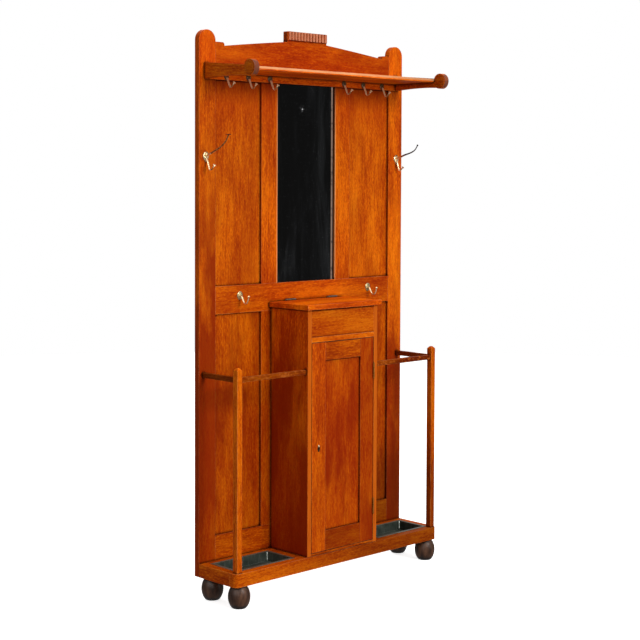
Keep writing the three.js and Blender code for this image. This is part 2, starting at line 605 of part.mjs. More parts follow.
SIDES.forEach(([side, sign], index) => {
  const half = UMBRELLA_RAIL.thickness / 2;
  const sideXs = [sign * umbrellaX - half, sign * umbrellaX + half];
  const sideRail = box(sideXs, [inFront(umbrellaBackReach), FACE_Y], railZs);
  const sideStubs = [sideRailStub(sign, 0), sideRailStub(sign, umbrellaBackReach + RAIL_STUB.length)];
  const frontYs = [inFront(umbrellaReach) - half, inFront(umbrellaReach) + half];
  const frontXs = [sign * CABINET_HALF_WIDTH, sign * (umbrellaX - postHalf)];
  const frontStubs = [
    frontRailStub(sign, CABINET_HALF_WIDTH - RAIL_STUB.length),
    frontRailStub(sign, umbrellaX - postHalf),
  ];
  add(`umbrella_post_${side}`, umbrellaPost(sign, index), oak());
  add(`umbrella_side_rail_${side}`, join(sideRail, ...sideStubs), oak());
  add(`umbrella_front_rail_${side}`, join(box(frontXs, frontYs, railZs), ...frontStubs), oak());
});

// ---------------------------------------------------------------- drip trays
for (const [side, sign] of SIDES) {
  const bay = [sign * FLOOR_HALF_WIDTH, sign * baseInner].sort((a, b) => a - b);
  const bodyXs = widened(bay, -TRAY_SLACK);
  const bodyYs = widened(floorYs, -TRAY_SLACK);
  const bottom = BASE_TOP - TRAY_DEPTH;
  const body = taperedBox(bodyXs, bodyYs, [bottom, BASE_TOP], TRAY_TAPER);
  const flangeZs = [BASE_TOP, BASE_TOP + TRAY_WALL];
  const flange = box(widened(bay, TRAY_FLANGE), widened(floorYs, TRAY_FLANGE), flangeZs);
  const hollow = taperedBox(
    widened(bodyXs, -TRAY_WALL),
    widened(bodyYs, -TRAY_WALL),
    [bottom + TRAY_WALL, BASE_TOP + 2 * TRAY_WALL],
    TRAY_TAPER,
  );
  add(`drip_tray_${side}`, cut(join(body, flange), hollow), zinc());
}

// ---------------------------------------------------------------- ball feet
function ballFoot() {
  const half = FRAME_BOTTOM / 2;
  const halfHeight = half / Math.sqrt(1 - (FOOT.flat / FOOT.radius) ** 2);
  const profile = [new THREE.Vector2(0, 0)];
  for (let i = 0; i <= FOOT.steps; i += 1) {
    const height = -half + (2 * half * i) / FOOT.steps;
    profile.push(new THREE.Vector2(FOOT.radius * Math.sqrt(1 - (height / halfHeight) ** 2), height + half));
  }
  profile.push(new THREE.Vector2(0, FRAME_BOTTOM));
  return new THREE.LatheGeometry(profile, 24).rotateX(Math.PI / 2);
}

for (const [side, sign] of SIDES) {
  const x = sign * (HALF_WIDTH - FOOT.insetX);
  add(`ball_foot_front_${side}`, ballFoot(), darkWood(), [x, inFront(FOOT.frontReach), 0]);
  add(`ball_foot_back_${side}`, ballFoot(), darkWood(), [x, inFront(FOOT.backReach), 0]);
}

// ---------------------------------------------------------------- hooks
// A route is a list of [reach, height] from the middle of the hook's back plate.
function wire(route, [halfWidth, halfDepth]) {
  const points = route.map(([reach, height]) => new THREE.Vector3(0, -reach, height));
  const path = new THREE.CatmullRomCurve3(points);
  const section = new THREE.Shape();
  section.absellipse(0, 0, halfDepth, halfWidth, 0, 2 * Math.PI, false);
  return new THREE.ExtrudeGeometry(section, { extrudePath: path, steps: 2 * route.length, curveSegments: 4 });
}

function ball([reach, height], radius) {
  return new THREE.SphereGeometry(radius, 8, 6).translate(0, -reach, height);
}

// A disc on the end of a wire that rises at the angle given by lean.
function button([reach, height], { radius, thickness, lean }) {
  return new THREE.CylinderGeometry(radius, radius, thickness, 16)
    .rotateX(Math.PI - lean)
    .translate(0, -reach, height);
}

const behindPlate = box([-20, 20], [0, 10], [-20, 20]);

function ovalPlate([halfWidth, halfHeight, thickness]) {
  const outline = new THREE.Shape();
  outline.absellipse(0, 0, halfWidth, halfHeight, 0, 2 * Math.PI, false);
  return frontOutline(outline, -thickness, thickness, 6);
}

// Rounded at the top and drawn in to a point at the bottom.
function shieldPlate([halfWidth, halfHeight, thickness]) {
  const outline = new THREE.Shape();
  const shoulder = halfHeight / 3;
  outline.moveTo(0, -halfHeight);
  outline.quadraticCurveTo(halfWidth, -shoulder, halfWidth, shoulder);
  outline.quadraticCurveTo(halfWidth, halfHeight, 0, halfHeight);
  outline.quadraticCurveTo(-halfWidth, halfHeight, -halfWidth, shoulder);
  outline.quadraticCurveTo(-halfWidth, -shoulder, 0, -halfHeight);
  return frontOutline(outline, -thickness, thickness, 6);
}

// Wires start inside the plate, so whatever passes through its flat back is cut away.
function hookOf(...solids) {
  return cut(join(...solids), behindPlate);
}

function smallHook({ plate, wire: section }) {
  const route = [[1, -3], [9, -16], [14, -27], [18, -35], [22.5, -38.5], [28, -37], [36, -29.5], [42, -23]];
  return hookOf(ovalPlate(plate), wire(route, section), button(route.at(-1), HOOK_BUTTON));
}

function midHook({ plate, wire: section, tip }) {
  const route = [[1, 0], [10, -3], [16, -12], [22, -22], [30, -26.5], [38, -23], [44, -13], [47, -1]];
  return hookOf(ovalPlate(plate), wire(route, section), ball(route.at(-1), tip));
}

// The left hook still has its broad hat disc. The right one is bent lower and ends in a plain knob.
const coatArms = {
  left: {
    upper: [[1, 3], [14, 6], [48, 19], [84, 35], [108, 54], [119.5, 73]],
    upperEnd: (end) => button(end, HAT_BUTTON),
    lower: [[1, -4], [8, -12], [14, -26], [20, -41], [26, -46], [33, -43], [40, -36], [46.5, -29]],
  },
  right: {
    upper: [[1, 4], [12, 7], [22, 10], [45, 18], [67, 23.5], [86, 30], [100, 39], [111, 54]],
    upperEnd: (end) => ball(end, HAT_KNOB_RADIUS),
    lower: [[1, -4], [6, -10], [11, -25], [15, -37], [19.5, -42], [25, -40], [31, -34.5], [36, -29.5]],
  },
};

function coatHook({ plate, wire: section }, { upper, upperEnd, lower }) {
  const lowerEnd = button(lower.at(-1), HOOK_BUTTON);
  return hookOf(
    shieldPlate(plate),
    wire(upper, section),
    upperEnd(upper.at(-1)),
    wire(lower, section),
    lowerEnd,
  );
}

for (const [side, sign] of SIDES) {
  ['inner', 'middle', 'outer'].forEach((place, index) => {
    const x = sign * (SMALL_HOOK.inner + index * SMALL_HOOK.spacing);
    const at = [x, inFront(HOOK_RAIL_THICKNESS), SMALL_HOOK.height];
    add(`rail_hook_${side}_${place}`, smallHook(SMALL_HOOK), brass(), at);
  });
  add(`mid_hook_${side}`, midHook(MID_HOOK), brass(), [sign * MID_HOOK.centre, FACE_Y, MID_HOOK.height]);
  const coatAt = [sign * COAT_HOOK.centre, FACE_Y, COAT_HOOK.height];
  add(`coat_hook_${side}`, coatHook(COAT_HOOK, coatArms[side]), brass(), coatAt);
}

export default hallStand;
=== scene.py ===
"""Looks of the oak hall stand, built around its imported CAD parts. Metres, in the frame's own axes."""

import json
import math
import random

import bmesh
import bpy
from mathutils import Matrix, Vector


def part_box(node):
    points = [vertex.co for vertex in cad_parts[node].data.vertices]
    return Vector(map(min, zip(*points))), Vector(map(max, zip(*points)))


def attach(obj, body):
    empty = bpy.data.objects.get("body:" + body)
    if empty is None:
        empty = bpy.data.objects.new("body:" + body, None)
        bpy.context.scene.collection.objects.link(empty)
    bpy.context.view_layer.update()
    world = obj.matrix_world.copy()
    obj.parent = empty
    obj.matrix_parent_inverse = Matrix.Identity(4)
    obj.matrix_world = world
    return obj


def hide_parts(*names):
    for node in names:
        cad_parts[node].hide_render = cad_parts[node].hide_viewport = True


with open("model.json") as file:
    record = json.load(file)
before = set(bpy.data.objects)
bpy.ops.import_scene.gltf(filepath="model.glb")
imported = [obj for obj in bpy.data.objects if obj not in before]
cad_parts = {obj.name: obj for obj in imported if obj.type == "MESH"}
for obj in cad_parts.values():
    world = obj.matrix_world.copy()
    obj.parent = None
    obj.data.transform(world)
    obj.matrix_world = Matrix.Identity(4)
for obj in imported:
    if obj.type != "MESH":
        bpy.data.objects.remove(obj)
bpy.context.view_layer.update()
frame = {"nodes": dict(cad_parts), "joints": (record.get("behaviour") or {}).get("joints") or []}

MM = 0.001
SIDES = (("left", -1), ("right", 1))
QUARTER = math.pi / 2
draw = random.Random(11)


# -------- shader nodes
class Nodes:
    """A node tree, with short calls that add nodes and join them."""

    def __init__(self, tree):
        self.tree = tree
        tree.nodes.clear()

    def feed(self, socket, value):
        if isinstance(value, bpy.types.NodeSocket):
            self.tree.links.new(value, socket)
        else:
            socket.default_value = value

    def node(self, kind, *values, named=(), **settings):
        """A node with these settings. The values feed its inputs in order, and the named ones by name."""
        node = self.tree.nodes.new(f"ShaderNode{kind}")
        for name, setting in settings.items():
            setattr(node, name, setting)
        for socket, value in zip(node.inputs, values):
            self.feed(socket, value)
        for name, value in dict(named).items():
            self.feed(node.inputs[name], value)
        return node

    def mapping(self, vector, shift=(0, 0, 0), turn=(0, 0, 0), scale=(1, 1, 1)):
        return self.node("Mapping", vector, shift, turn, scale).outputs[0]

    def parts(self, vector):
        return self.node("SeparateXYZ", vector).outputs

    def noise(self, vector, scale=(1, 1, 1), detail=2.0, roughness=0.5, distortion=0.0):
        grain = {"Scale": 1.0, "Detail": detail, "Roughness": roughness, "Distortion": distortion}
        return self.node("TexNoise", self.mapping(vector, scale=scale), named=grain).outputs[0]

    def maths(self, operation, a, b=0.0, c=0.0):
        return self.node("Math", a, b, c, operation=operation).outputs[0]

    def times(self, a, b):
        return self.maths("MULTIPLY", a, b)

    def plus(self, a, b):
        return self.maths("ADD", a, b)

    def minus(self, a, b):
        return self.maths("SUBTRACT", a, b)

    def line(self, value, slope, start):
        """The value times a slope, plus a start."""
        return self.maths("MULTIPLY_ADD", value, slope, start)

    def vary(self, value, layer, amount):
        """The value, pushed up and down by an amount as a layer of noise runs from 0 to 1."""
        return self.line(self.minus(layer, 0.5), amount, value)

    def length(self, a, b):
        """How far (a, b) is from (0, 0)."""
        return self.maths("SQRT", self.plus(self.times(a, a), self.times(b, b)))

    def span(self, value, low, high, to_low=0.0, to_high=1.0):
        """Goes smoothly from to_low to to_high as the value goes from low to high."""
        values = (value, low, high, to_low, to_high)
        return self.node("MapRange", *values, interpolation_type="SMOOTHSTEP").outputs[0]

    def ramp(self, value, *stops):
        """A colour for each value, from (value, colour) stops."""
        node = self.node("ValToRGB", value)
        elements = node.color_ramp.elements
        while len(elements) < len(stops):
            elements.new(1.0)
        for element, (position, colour) in zip(elements, stops):
            element.position = position
            element.color = (*colour, 1.0)
        return node.outputs[0]

    def mix(self, share, a, b):
        """Colour a, with a share of colour b."""
        node = self.node("Mix", share, data_type="RGBA")
        for socket, colour in ((node.inputs[6], a), (node.inputs[7], b)):
            self.feed(socket, colour if isinstance(colour, bpy.types.NodeSocket) else (*colour, 1.0))
        return node.outputs[2]

    def shade(self, colour, value):
        """The colour times a value, channel by channel."""
        return self.node("VectorMath", colour, named={"Scale": value}, operation="SCALE").outputs[0]


class Shader(Nodes):
    """One material's nodes, around a principled surface."""

    def __init__(self, name):
        self.material = bpy.data.materials.new(name)
        self.material.use_nodes = True
        super().__init__(self.material.node_tree)
        self.surface = self.node("BsdfPrincipled")
        self.node("OutputMaterial", self.surface.outputs[0])

    def set(self, **values):
        for name, value in values.items():
            self.feed(self.surface.inputs[name.replace("_", " ")], value)

    def place(self):
        return self.node("TexCoord").outputs["Object"]

    def facing(self):
        return self.node("NewGeometry").outputs["Normal"]

    def edge(self, radius):
        """1 along outside edges, within the radius, and 0 on flat ground."""
        rounded = self.node("Bevel", radius, samples=4).outputs[0]
        dot = self.node("VectorMath", rounded, self.facing(), operation="DOT_PRODUCT")
        return self.span(dot.outputs["Value"], 0.98, 0.86)

    def crevice(self, distance):
        """1 deep in corners and joints, and 0 in the open."""
        node = self.node("AmbientOcclusion", named={"Distance": distance}, samples=6)
        return self.span(node.outputs["AO"], 0.90, 0.48)

    def bump(self, height, depth, strength=1.0):
        relief = {"Height": height, "Distance": depth, "Strength": strength}
        self.set(Normal=self.node("Bump", named=relief).outputs[0])


# -------- materials
# Turns that lay the board's length along an axis of the stand.
GRAIN_TURNS = {"Z": (0, 0, 0), "X": (0, -QUARTER, 0), "Y": (QUARTER, 0, 0)}
OAK_DEEP = (0.235, 0.0185, 0.0006)
OAK_MID = (0.450, 0.0590, 0.0010)
OAK_GOLD = (0.630, 0.1180, 0.0014)
OAK_PALE = (0.800, 0.2150, 0.0045)
OAK_RED = (0.215, 0.0150, 0.0008)
OAK_REDDENED = (0.420, 0.0180, 0.0006)
# Grime in the pores; painted shade in corners, joints, recesses and under overhangs; darkening low down and
# towards board ends.
OAK_GRIME_AND_SHADE = (0.022, 0.0032, 0.0005)
OAK_WORN = (0.760, 0.3400, 0.1500)
OAK_CHIPPED = (0.850, 0.2000, 0.0250)
OAK_RAW = (0.300, 0.1450, 0.0520)
RINGS_PER_METRE = 230.0
RING_WANDER = 9.0
CREVICE_REACH = 13 * MM
RUBBED_EDGE = 2.4 * MM


def oak(name, grain, light=1.0, red=0.35, raw_back=False, red_below=None, worn=0.35, front=None, bands=(),
        chipped=0.0, dark_end=None):
    """Varnished oak, its length along the grain axis.

    light: how bright the colour is. On the hat shelf and the glove box lid it is raised as painted light.
    red: how far its darker patches have reddened.
    raw_back: whether faces that look at the wall are left without varnish.
    red_below: (height, strength) of extra red below a height.
    worn: how pale the rubbed edges are.
    front: (depth, height, tint) for faces that look forward, in front of the depth and above the height.
    bands: (axis, from, to, share, tint) rows. The wood takes that share of the tint as the coordinate,
        without its sign, goes from one value to the other.
    chipped: how much of it has been knocked pale.
    dark_end: (from, to, share) of darkening towards one end of a board, along X.
    """
    s = Shader(name)
    where = s.place()
    straight = s.mapping(where, turn=GRAIN_TURNS[grain])
    heart = [draw.choice((-1, 1)) * draw.uniform(0.05, 0.16) for _ in range(2)]
    tilt = (draw.uniform(-0.03, 0.03), draw.uniform(-0.03, 0.03), draw.uniform(-0.6, 0.6))
    board = s.mapping(straight, shift=(*heart, draw.uniform(-5, 5)), turn=tilt)

    wander = s.noise(board, (11, 11, 1.3), detail=2)
    x, y, _ = s.parts(board)
    ring = s.maths("FRACT", s.line(s.length(x, y), RINGS_PER_METRE, s.times(wander, RING_WANDER)))
    late = s.minus(s.span(ring, 0.35, 0.9), s.span(ring, 0.93, 1.0))

    cloud = s.noise(board, (13, 13, 2.6), detail=3, roughness=0.55)
    streak = s.noise(board, (150, 150, 15), detail=4, roughness=0.62)
    fleck = s.noise(board, (280, 280, 85), detail=2, roughness=0.6, distortion=0.4)
    fibre = s.noise(board, (1100, 1100, 40), detail=2, roughness=0.6)
    pore = s.noise(board, (1300, 1300, 70), detail=1)

    body = 0.51
    for layer, weight in ((cloud, 1.0), (streak, 0.72), (fleck, 0.75), (fibre, 0.35)):
        body = s.vary(body, layer, weight)
    body = s.line(late, -0.07, body)
    colour = s.ramp(body, (0.10, OAK_DEEP), (0.38, OAK_MID), (0.58, OAK_GOLD), (0.95, OAK_PALE))
    colour = s.mix(s.span(fleck, 0.60, 0.74, 0.0, 0.35), colour, OAK_PALE)
    patch = s.noise(board, (10, 10, 2.8), detail=4, roughness=0.6)
    reach = s.span(patch, 0.42, 0.64)
    if red_below is not None:
        top, strength = red_below
        wavering = s.line(patch, -0.8, s.parts(where)[2])
        lower = s.span(wavering, top - 0.10, top - 0.75)
        reach = s.line(lower, strength, reach)
    colour = s.mix(s.maths("MINIMUM", s.times(reach, red), 0.9), colour, OAK_RED)
    open_pore = s.times(s.span(pore, 0.58, 0.68), s.span(ring, 0.55, 0.2, 0.3, 1.0))
    colour = s.mix(s.times(open_pore, 0.45), colour, OAK_GRIME_AND_SHADE)
    if chipped:
        bruise = s.noise(where, (55, 90, 90), detail=4, roughness=0.7)
        colour = s.mix(s.span(bruise, 0.50, 0.62, 0.0, chipped), colour, OAK_CHIPPED)
    for axis, start, end, share, tint in bands:
        along = s.maths("ABSOLUTE", s.parts(where)[axis])
        colour = s.mix(s.span(along, start, end, 0.0, share), colour, tint)
    # Painted shade, with some grime, darkens corners, joints and recesses.
    colour = s.mix(s.times(s.crevice(CREVICE_REACH), 0.95), colour, OAK_GRIME_AND_SHADE)
    edge = s.times(s.edge(RUBBED_EDGE), s.span(streak, 0.35, 0.62, worn * 0.2, worn))
    colour = s.mix(edge, colour, OAK_WORN)
    colour = s.shade(colour, light)
    roughness = s.vary(0.42, streak, 0.25)
    roughness = s.line(open_pore, 0.2, roughness)

    facing_y = s.parts(s.facing())[1]
    if raw_back:
        back = s.span(facing_y, 0.6, 0.9)
        raw = s.mix(s.span(body, 0.35, 0.8, 0.0, 0.3), OAK_RAW, OAK_MID)
        raw = s.shade(raw, s.line(fibre, 0.8, 0.5))
        colour = s.mix(back, colour, raw)
        roughness = s.line(back, 0.35, roughness)

    # Forward faces near the front take a tint: wear on the hat shelf's front edge, a painted highlight on the
    # reeds' crests, a painted sheen on the bracket noses and a paler tone on the cabinet sides' front edges.
    if front is not None:
        depth, bottom, tint = front
        _, y, z = s.parts(where)
        rubbed = s.times(s.span(facing_y, -0.3, -0.7), s.span(y, depth + MM, depth))
        rubbed = s.times(rubbed, s.span(z, bottom, bottom + MM))
        rubbed = s.times(rubbed, s.span(streak, 0.25, 0.6, 0.55, 1.0))
        colour = s.mix(rubbed, colour, tint)

    if dark_end is not None:
        start, end, share = dark_end
        colour = s.mix(s.span(s.parts(where)[0], start, end, 0.0, share), colour, OAK_GRIME_AND_SHADE)

    s.set(Base_Color=colour, Roughness=roughness, Specular_IOR_Level=0.02)
    relief = s.line(open_pore, -0.8, s.line(fibre, 0.5, late))
    s.bump(relief, 0.12 * MM, 0.5)
    return s.material


def turned_wood(name):
    """Dark stained wood, turned and waxed."""
    s = Shader(name)
    where = s.mapping(s.place(), shift=(draw.uniform(-1, 1), draw.uniform(-1, 1), 0))
    streak = s.noise(where, (60, 60, 18), detail=3)
    groove = s.noise(where, (6, 6, 900), detail=1)
    stained = ((0.3, (0.018, 0.007, 0.004)), (0.55, (0.068, 0.028, 0.014)), (0.8, (0.155, 0.068, 0.034)))
    colour = s.ramp(streak, *stained)
    # Painted shade where the foot meets the surfaces around it.
    colour = s.mix(s.times(s.crevice(20 * MM), 0.9), colour, (0.006, 0.004, 0.003))
    scuff = s.span(s.noise(where, (45, 45, 90), detail=3, roughness=0.7), 0.62, 0.75, 0.0, 0.35)
    colour = s.mix(scuff, colour, (0.14, 0.085, 0.06))
    roughness = s.line(streak, 0.3, 0.24)
    s.set(Base_Color=colour, Roughness=roughness, Specular_IOR_Level=0.22)
    s.set(Coat_Weight=0.06, Coat_Roughness=0.3)
    s.bump(s.line(groove, 0.6, streak), 0.15 * MM, 0.5)
    return s.material


def aged_metal(name, clean, tarnish, dark, roughness, share=0.5, metallic=1.0, zones=()):
    """Metal that is tarnished in patches, dark in its hollows from patina and painted shade, and rubbed
    bright on its edges. share is how much of it is tarnished. zones are (axis, from, to, colour): the metal
    takes the colour as that coordinate goes from one value to the other."""
    s = Shader(name)
    where = s.place()
    cloud = s.noise(where, (140, 140, 140), detail=4, roughness=0.6)
    speck = s.noise(where, (1400, 1400, 1400), detail=2)
    scratch = s.noise(where, (2500, 2500, 160), detail=1)
    dulled = s.span(s.line(speck, 0.35, cloud), 0.80 - share * 0.4, 0.95)
    colour = s.mix(dulled, clean, tarnish)
    for axis, start, end, tint in zones:
        wavering = s.vary(s.parts(where)[axis], cloud, 3 * MM)
        colour = s.mix(s.span(wavering, start, end), colour, tint)
    # Patina and painted shade darken the hollows.
    colour = s.mix(s.crevice(2.5 * MM), colour, dark)
    colour = s.mix(s.times(s.edge(0.7 * MM), 0.7), colour, clean)
    rough = s.line(dulled, 0.22, roughness)
    rough = s.vary(rough, scratch, 0.2)
    s.set(Base_Color=colour, Metallic=metallic, Roughness=rough)
    s.bump(s.plus(cloud, speck), 0.05 * MM, 0.4)
    return s.material


def zinc_sheet(name, rim_height):
    """Dark, dull sheet metal, streaked by water, and lighter on its rim and along its folds from wear and a
    painted highlight.
    """
    s = Shader(name)
    where = s.place()
    cloud = s.noise(where, (26, 26, 26), detail=4, roughness=0.65)
    run = s.noise(where, (120, 120, 12), detail=3)
    dull = ((0.3, (0.022, 0.028, 0.021)), (0.55, (0.052, 0.064, 0.050)), (0.8, (0.105, 0.120, 0.098)))
    colour = s.ramp(cloud, *dull)
    colour = s.mix(s.span(run, 0.55, 0.72, 0.0, 0.4), colour, (0.15, 0.17, 0.14))
    # The top of the rim is lightened as wear and as a painted highlight.
    rim = s.span(s.parts(where)[2], rim_height - 1.2 * MM, rim_height - 0.4 * MM)
    rim = s.times(rim, s.span(cloud, 0.3, 0.6, 0.25, 0.9))
    colour = s.mix(rim, colour, (0.13, 0.135, 0.105))
    # Edges and folds are lightened as wear and as a painted highlight.
    colour = s.mix(s.times(s.edge(1.2 * MM), 0.8), colour, (0.40, 0.44, 0.39))
    s.set(Base_Color=colour, Metallic=0.55, Roughness=s.line(cloud, 0.35, 0.25))
    s.bump(s.plus(cloud, run), 0.3 * MM, 0.5)
    return s.material


def old_mirror(name):
    """Silvering painted near black as the reflection of a dark room: hazy in streaks, foxed at its rim and
    black at its sides, with a painted reflection on its bevel.
    """
    s = Shader(name)
    where = s.place()
    x, _, z = s.parts(where)
    side = s.minus(GLASS["half_width"], s.maths("ABSOLUTE", x))
    level = s.maths("ABSOLUTE", s.minus(z, GLASS["middle"]))
    ridge = MARGIN + BEVEL
    inset = s.maths("MINIMUM", side, s.minus(GLASS["half_height"], level))
    cloud = s.noise(where, (90, 90, 90), detail=5, roughness=0.7)
    speck = s.noise(where, (420, 420, 420), detail=2)
    haze = s.noise(where, (16, 16, 2.2), detail=4, roughness=0.65, distortion=0.8)
    foxed = s.times(s.span(inset, 40 * MM, 8 * MM), s.span(cloud, 0.5, 0.68))
    dust = s.span(speck, 0.70, 0.78)
    away = s.length(s.minus(x, CHIP[0]), s.minus(z, CHIP[1]))
    scatter = s.times(s.span(away, 26 * MM, 4 * MM), s.span(speck, 0.60, 0.70, 0.0, 0.5))
    chip = s.maths("MAXIMUM", scatter, s.span(away, 4.0 * MM, 1.5 * MM))
    # The near-black colour is painted, standing in for the reflection of a dark room.
    colour = s.mix(s.span(haze, 0.42, 0.70), (0.022, 0.022, 0.022), (0.036, 0.037, 0.039))
    wisp = s.times(s.span(x, 45 * MM, 115 * MM), s.span(haze, 0.40, 0.62))
    colour = s.mix(s.times(wisp, 0.5), colour, (0.115, 0.122, 0.128))
    # A warmer, lighter band on the bevel is a painted reflection.
    bevelled = s.span(side, ridge + 0.3 * MM, ridge - 0.3 * MM)
    colour = s.mix(bevelled, colour, (0.092, 0.060, 0.046))
    colour = s.mix(foxed, colour, (0.016, 0.013, 0.010))
    colour = s.mix(s.times(dust, 0.6), colour, (0.16, 0.17, 0.18))
    colour = s.mix(s.span(side, MARGIN + 0.4 * MM, MARGIN), colour, (0.006, 0.005, 0.004))
    colour = s.mix(chip, colour, (0.50, 0.52, 0.53))
    roughness = s.line(s.span(haze, 0.45, 0.75), 0.16, 0.03)
    roughness = s.line(s.maths("MAXIMUM", dust, chip), 0.4, roughness)
    s.set(Base_Color=colour, Metallic=s.line(chip, -0.8, 1.0), Roughness=roughness)
    return s.material


def tones(clean, tarnish, dark, roughness):
    return dict(clean=clean, tarnish=tarnish, dark=dark, roughness=roughness)


BRASS = tones((0.60, 0.40, 0.16), (0.22, 0.13, 0.045), (0.030, 0.018, 0.008), 0.26)
IVORY = tones((0.94, 0.72, 0.42), (0.52, 0.36, 0.15), (0.030, 0.018, 0.008), 0.24)
HINGE = tones((0.42, 0.15, 0.022), (0.150, 0.048, 0.007), (0.020, 0.008, 0.003), 0.50)
DARK_BRONZE = tones((0.10, 0.060, 0.028), (0.035, 0.020, 0.010), (0.008, 0.005, 0.003), 0.4)
STEEL = tones((0.20, 0.17, 0.14), (0.060, 0.045, 0.032), (0.015, 0.010, 0.007), 0.45)
SOLDER = tones((0.62, 0.66, 0.60), (0.36, 0.39, 0.35), (0.12, 0.13, 0.12), 0.5)
OLIVE = (0.115, 0.078, 0.030)
BROWN_BRASS = (0.36, 0.150, 0.040)
MAROON = (0.035, 0.012, 0.008)
BLACKENED = (0.030, 0.026, 0.021)
DULL_CREAM = (0.50, 0.38, 0.19)


# -------- CAD nodes: softened edges, oak of their own
def paint(piece, material):
    piece.data.materials.clear()
    piece.data.materials.append(material)


def soften(piece, width, segments=2):
    """Rounds a CAD solid's hard edges with modifiers, leaving its mesh as it is."""
    weld = piece.modifiers.new("weld", "WELD")
    weld.merge_threshold = 0.01 * MM
    bevel = piece.modifiers.new("soft_edges", "BEVEL")
    bevel.width = width
    bevel.segments = segments
    bevel.limit_method = "ANGLE"
    bevel.angle_limit = math.radians(40)
    normals = piece.modifiers.new("even_shading", "WEIGHTED_NORMAL")
    normals.weight = 80


def finish_node(node_name, material, edge_mm, segments=2):
    paint(frame["nodes"][node_name], material)
    soften(frame["nodes"][node_name], edge_mm * MM, segments)


shelf_low, bracket_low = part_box("hat_shelf")[0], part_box("shelf_bracket_left")[0]
ROUNDEL_RADIUS = 28 * MM
# The bracket noses' greyer front is a painted sheen on the wood.
NOSE_TINT = (0.150, 0.0520, 0.0330)
SIDE_FRONT_TINT = (0.58, 0.1150, 0.0060)
# A darker red oak: painted shade below the shelf, and a stain at the head of the left post.
OAK_SHADE_AND_STAIN = (0.400, 0.0370, 0.0008)
mirror_side = -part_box("muntin_left")[1].x


# Bands of painted shade, darkening, stain and wear, as oak() takes them. Reaches are in millimetres and
# heights in metres.
def under(node_name, reach=5, share=0.75):
    """Painted shade on a board below the lower edge of a piece that stands proud of it."""
    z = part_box(node_name)[0].z
    return (2, z - reach * MM, z - 1 * MM, share, OAK_GRIME_AND_SHADE)


def at_top(node_name, reach=3, share=0.75):
    """Painted shade along the upper edge of a board."""
    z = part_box(node_name)[1].z
    return (2, z - reach * MM, z - 0.5 * MM, share, OAK_GRIME_AND_SHADE)


def at_bottom(node_name, reach, share):
    """Painted shade along the lower edge of a board."""
    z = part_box(node_name)[0].z
    return (2, z + reach * MM, z + 1 * MM, share, OAK_GRIME_AND_SHADE)


def dark_foot(share):
    """Darkening that begins half a metre up and is full at 0.3 m and below."""
    return (2, 0.50, 0.30, share, OAK_GRIME_AND_SHADE)


def redder(share):
    """A redder stain over the whole board: every point of it is above the floor."""
    return (2, 0.0, 1 * MM, share, OAK_REDDENED)


# Painted shadow of the hat shelf on the upper panels and muntins, deepening upwards.
UNDER_SHELF = (2, 1.55, 1.79, 0.5, OAK_SHADE_AND_STAIN)
# A darker stain at the head of the post.
POST_HEAD = (2, 1.82, 1.88, 0.30, OAK_SHADE_AND_STAIN)
PALE_REVEAL = (0, mirror_side + 9 * MM, mirror_side, 0.55, OAK_PALE)
PALE_ARRIS = (0, mirror_side + 3.5 * MM, mirror_side + 2.5 * MM, 0.6, OAK_WORN)
UPPER = dict(raw_back=True, red_below=(0.95, 0.4), bands=[UNDER_SHELF, under("hook_rail")])
LOWER = dict(raw_back=True, red_below=(0.95, 0.6), bands=[at_top("lower_panel_left", 12, 0.8)])
LOWER_RIGHT = dict(LOWER, bands=[*LOWER["bands"], dark_foot(0.45)])
UPRIGHT_BANDS = [PALE_REVEAL, PALE_ARRIS, UNDER_SHELF, under("hook_rail")]
GLOVE_LINES = [redder(0.12), under("glove_box_lid", 8, 0.95), at_bottom("glove_box_front", 8, 0.5)]
CABINET_SIDE = dict(
    worn=0.6,
    red_below=(0.85, 2.3),
    bands=[under("glove_box_lid", 8, 0.6)],
    front=(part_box("cabinet_side_left")[0].y + 1 * MM, 0, SIDE_FRONT_TINT),
)
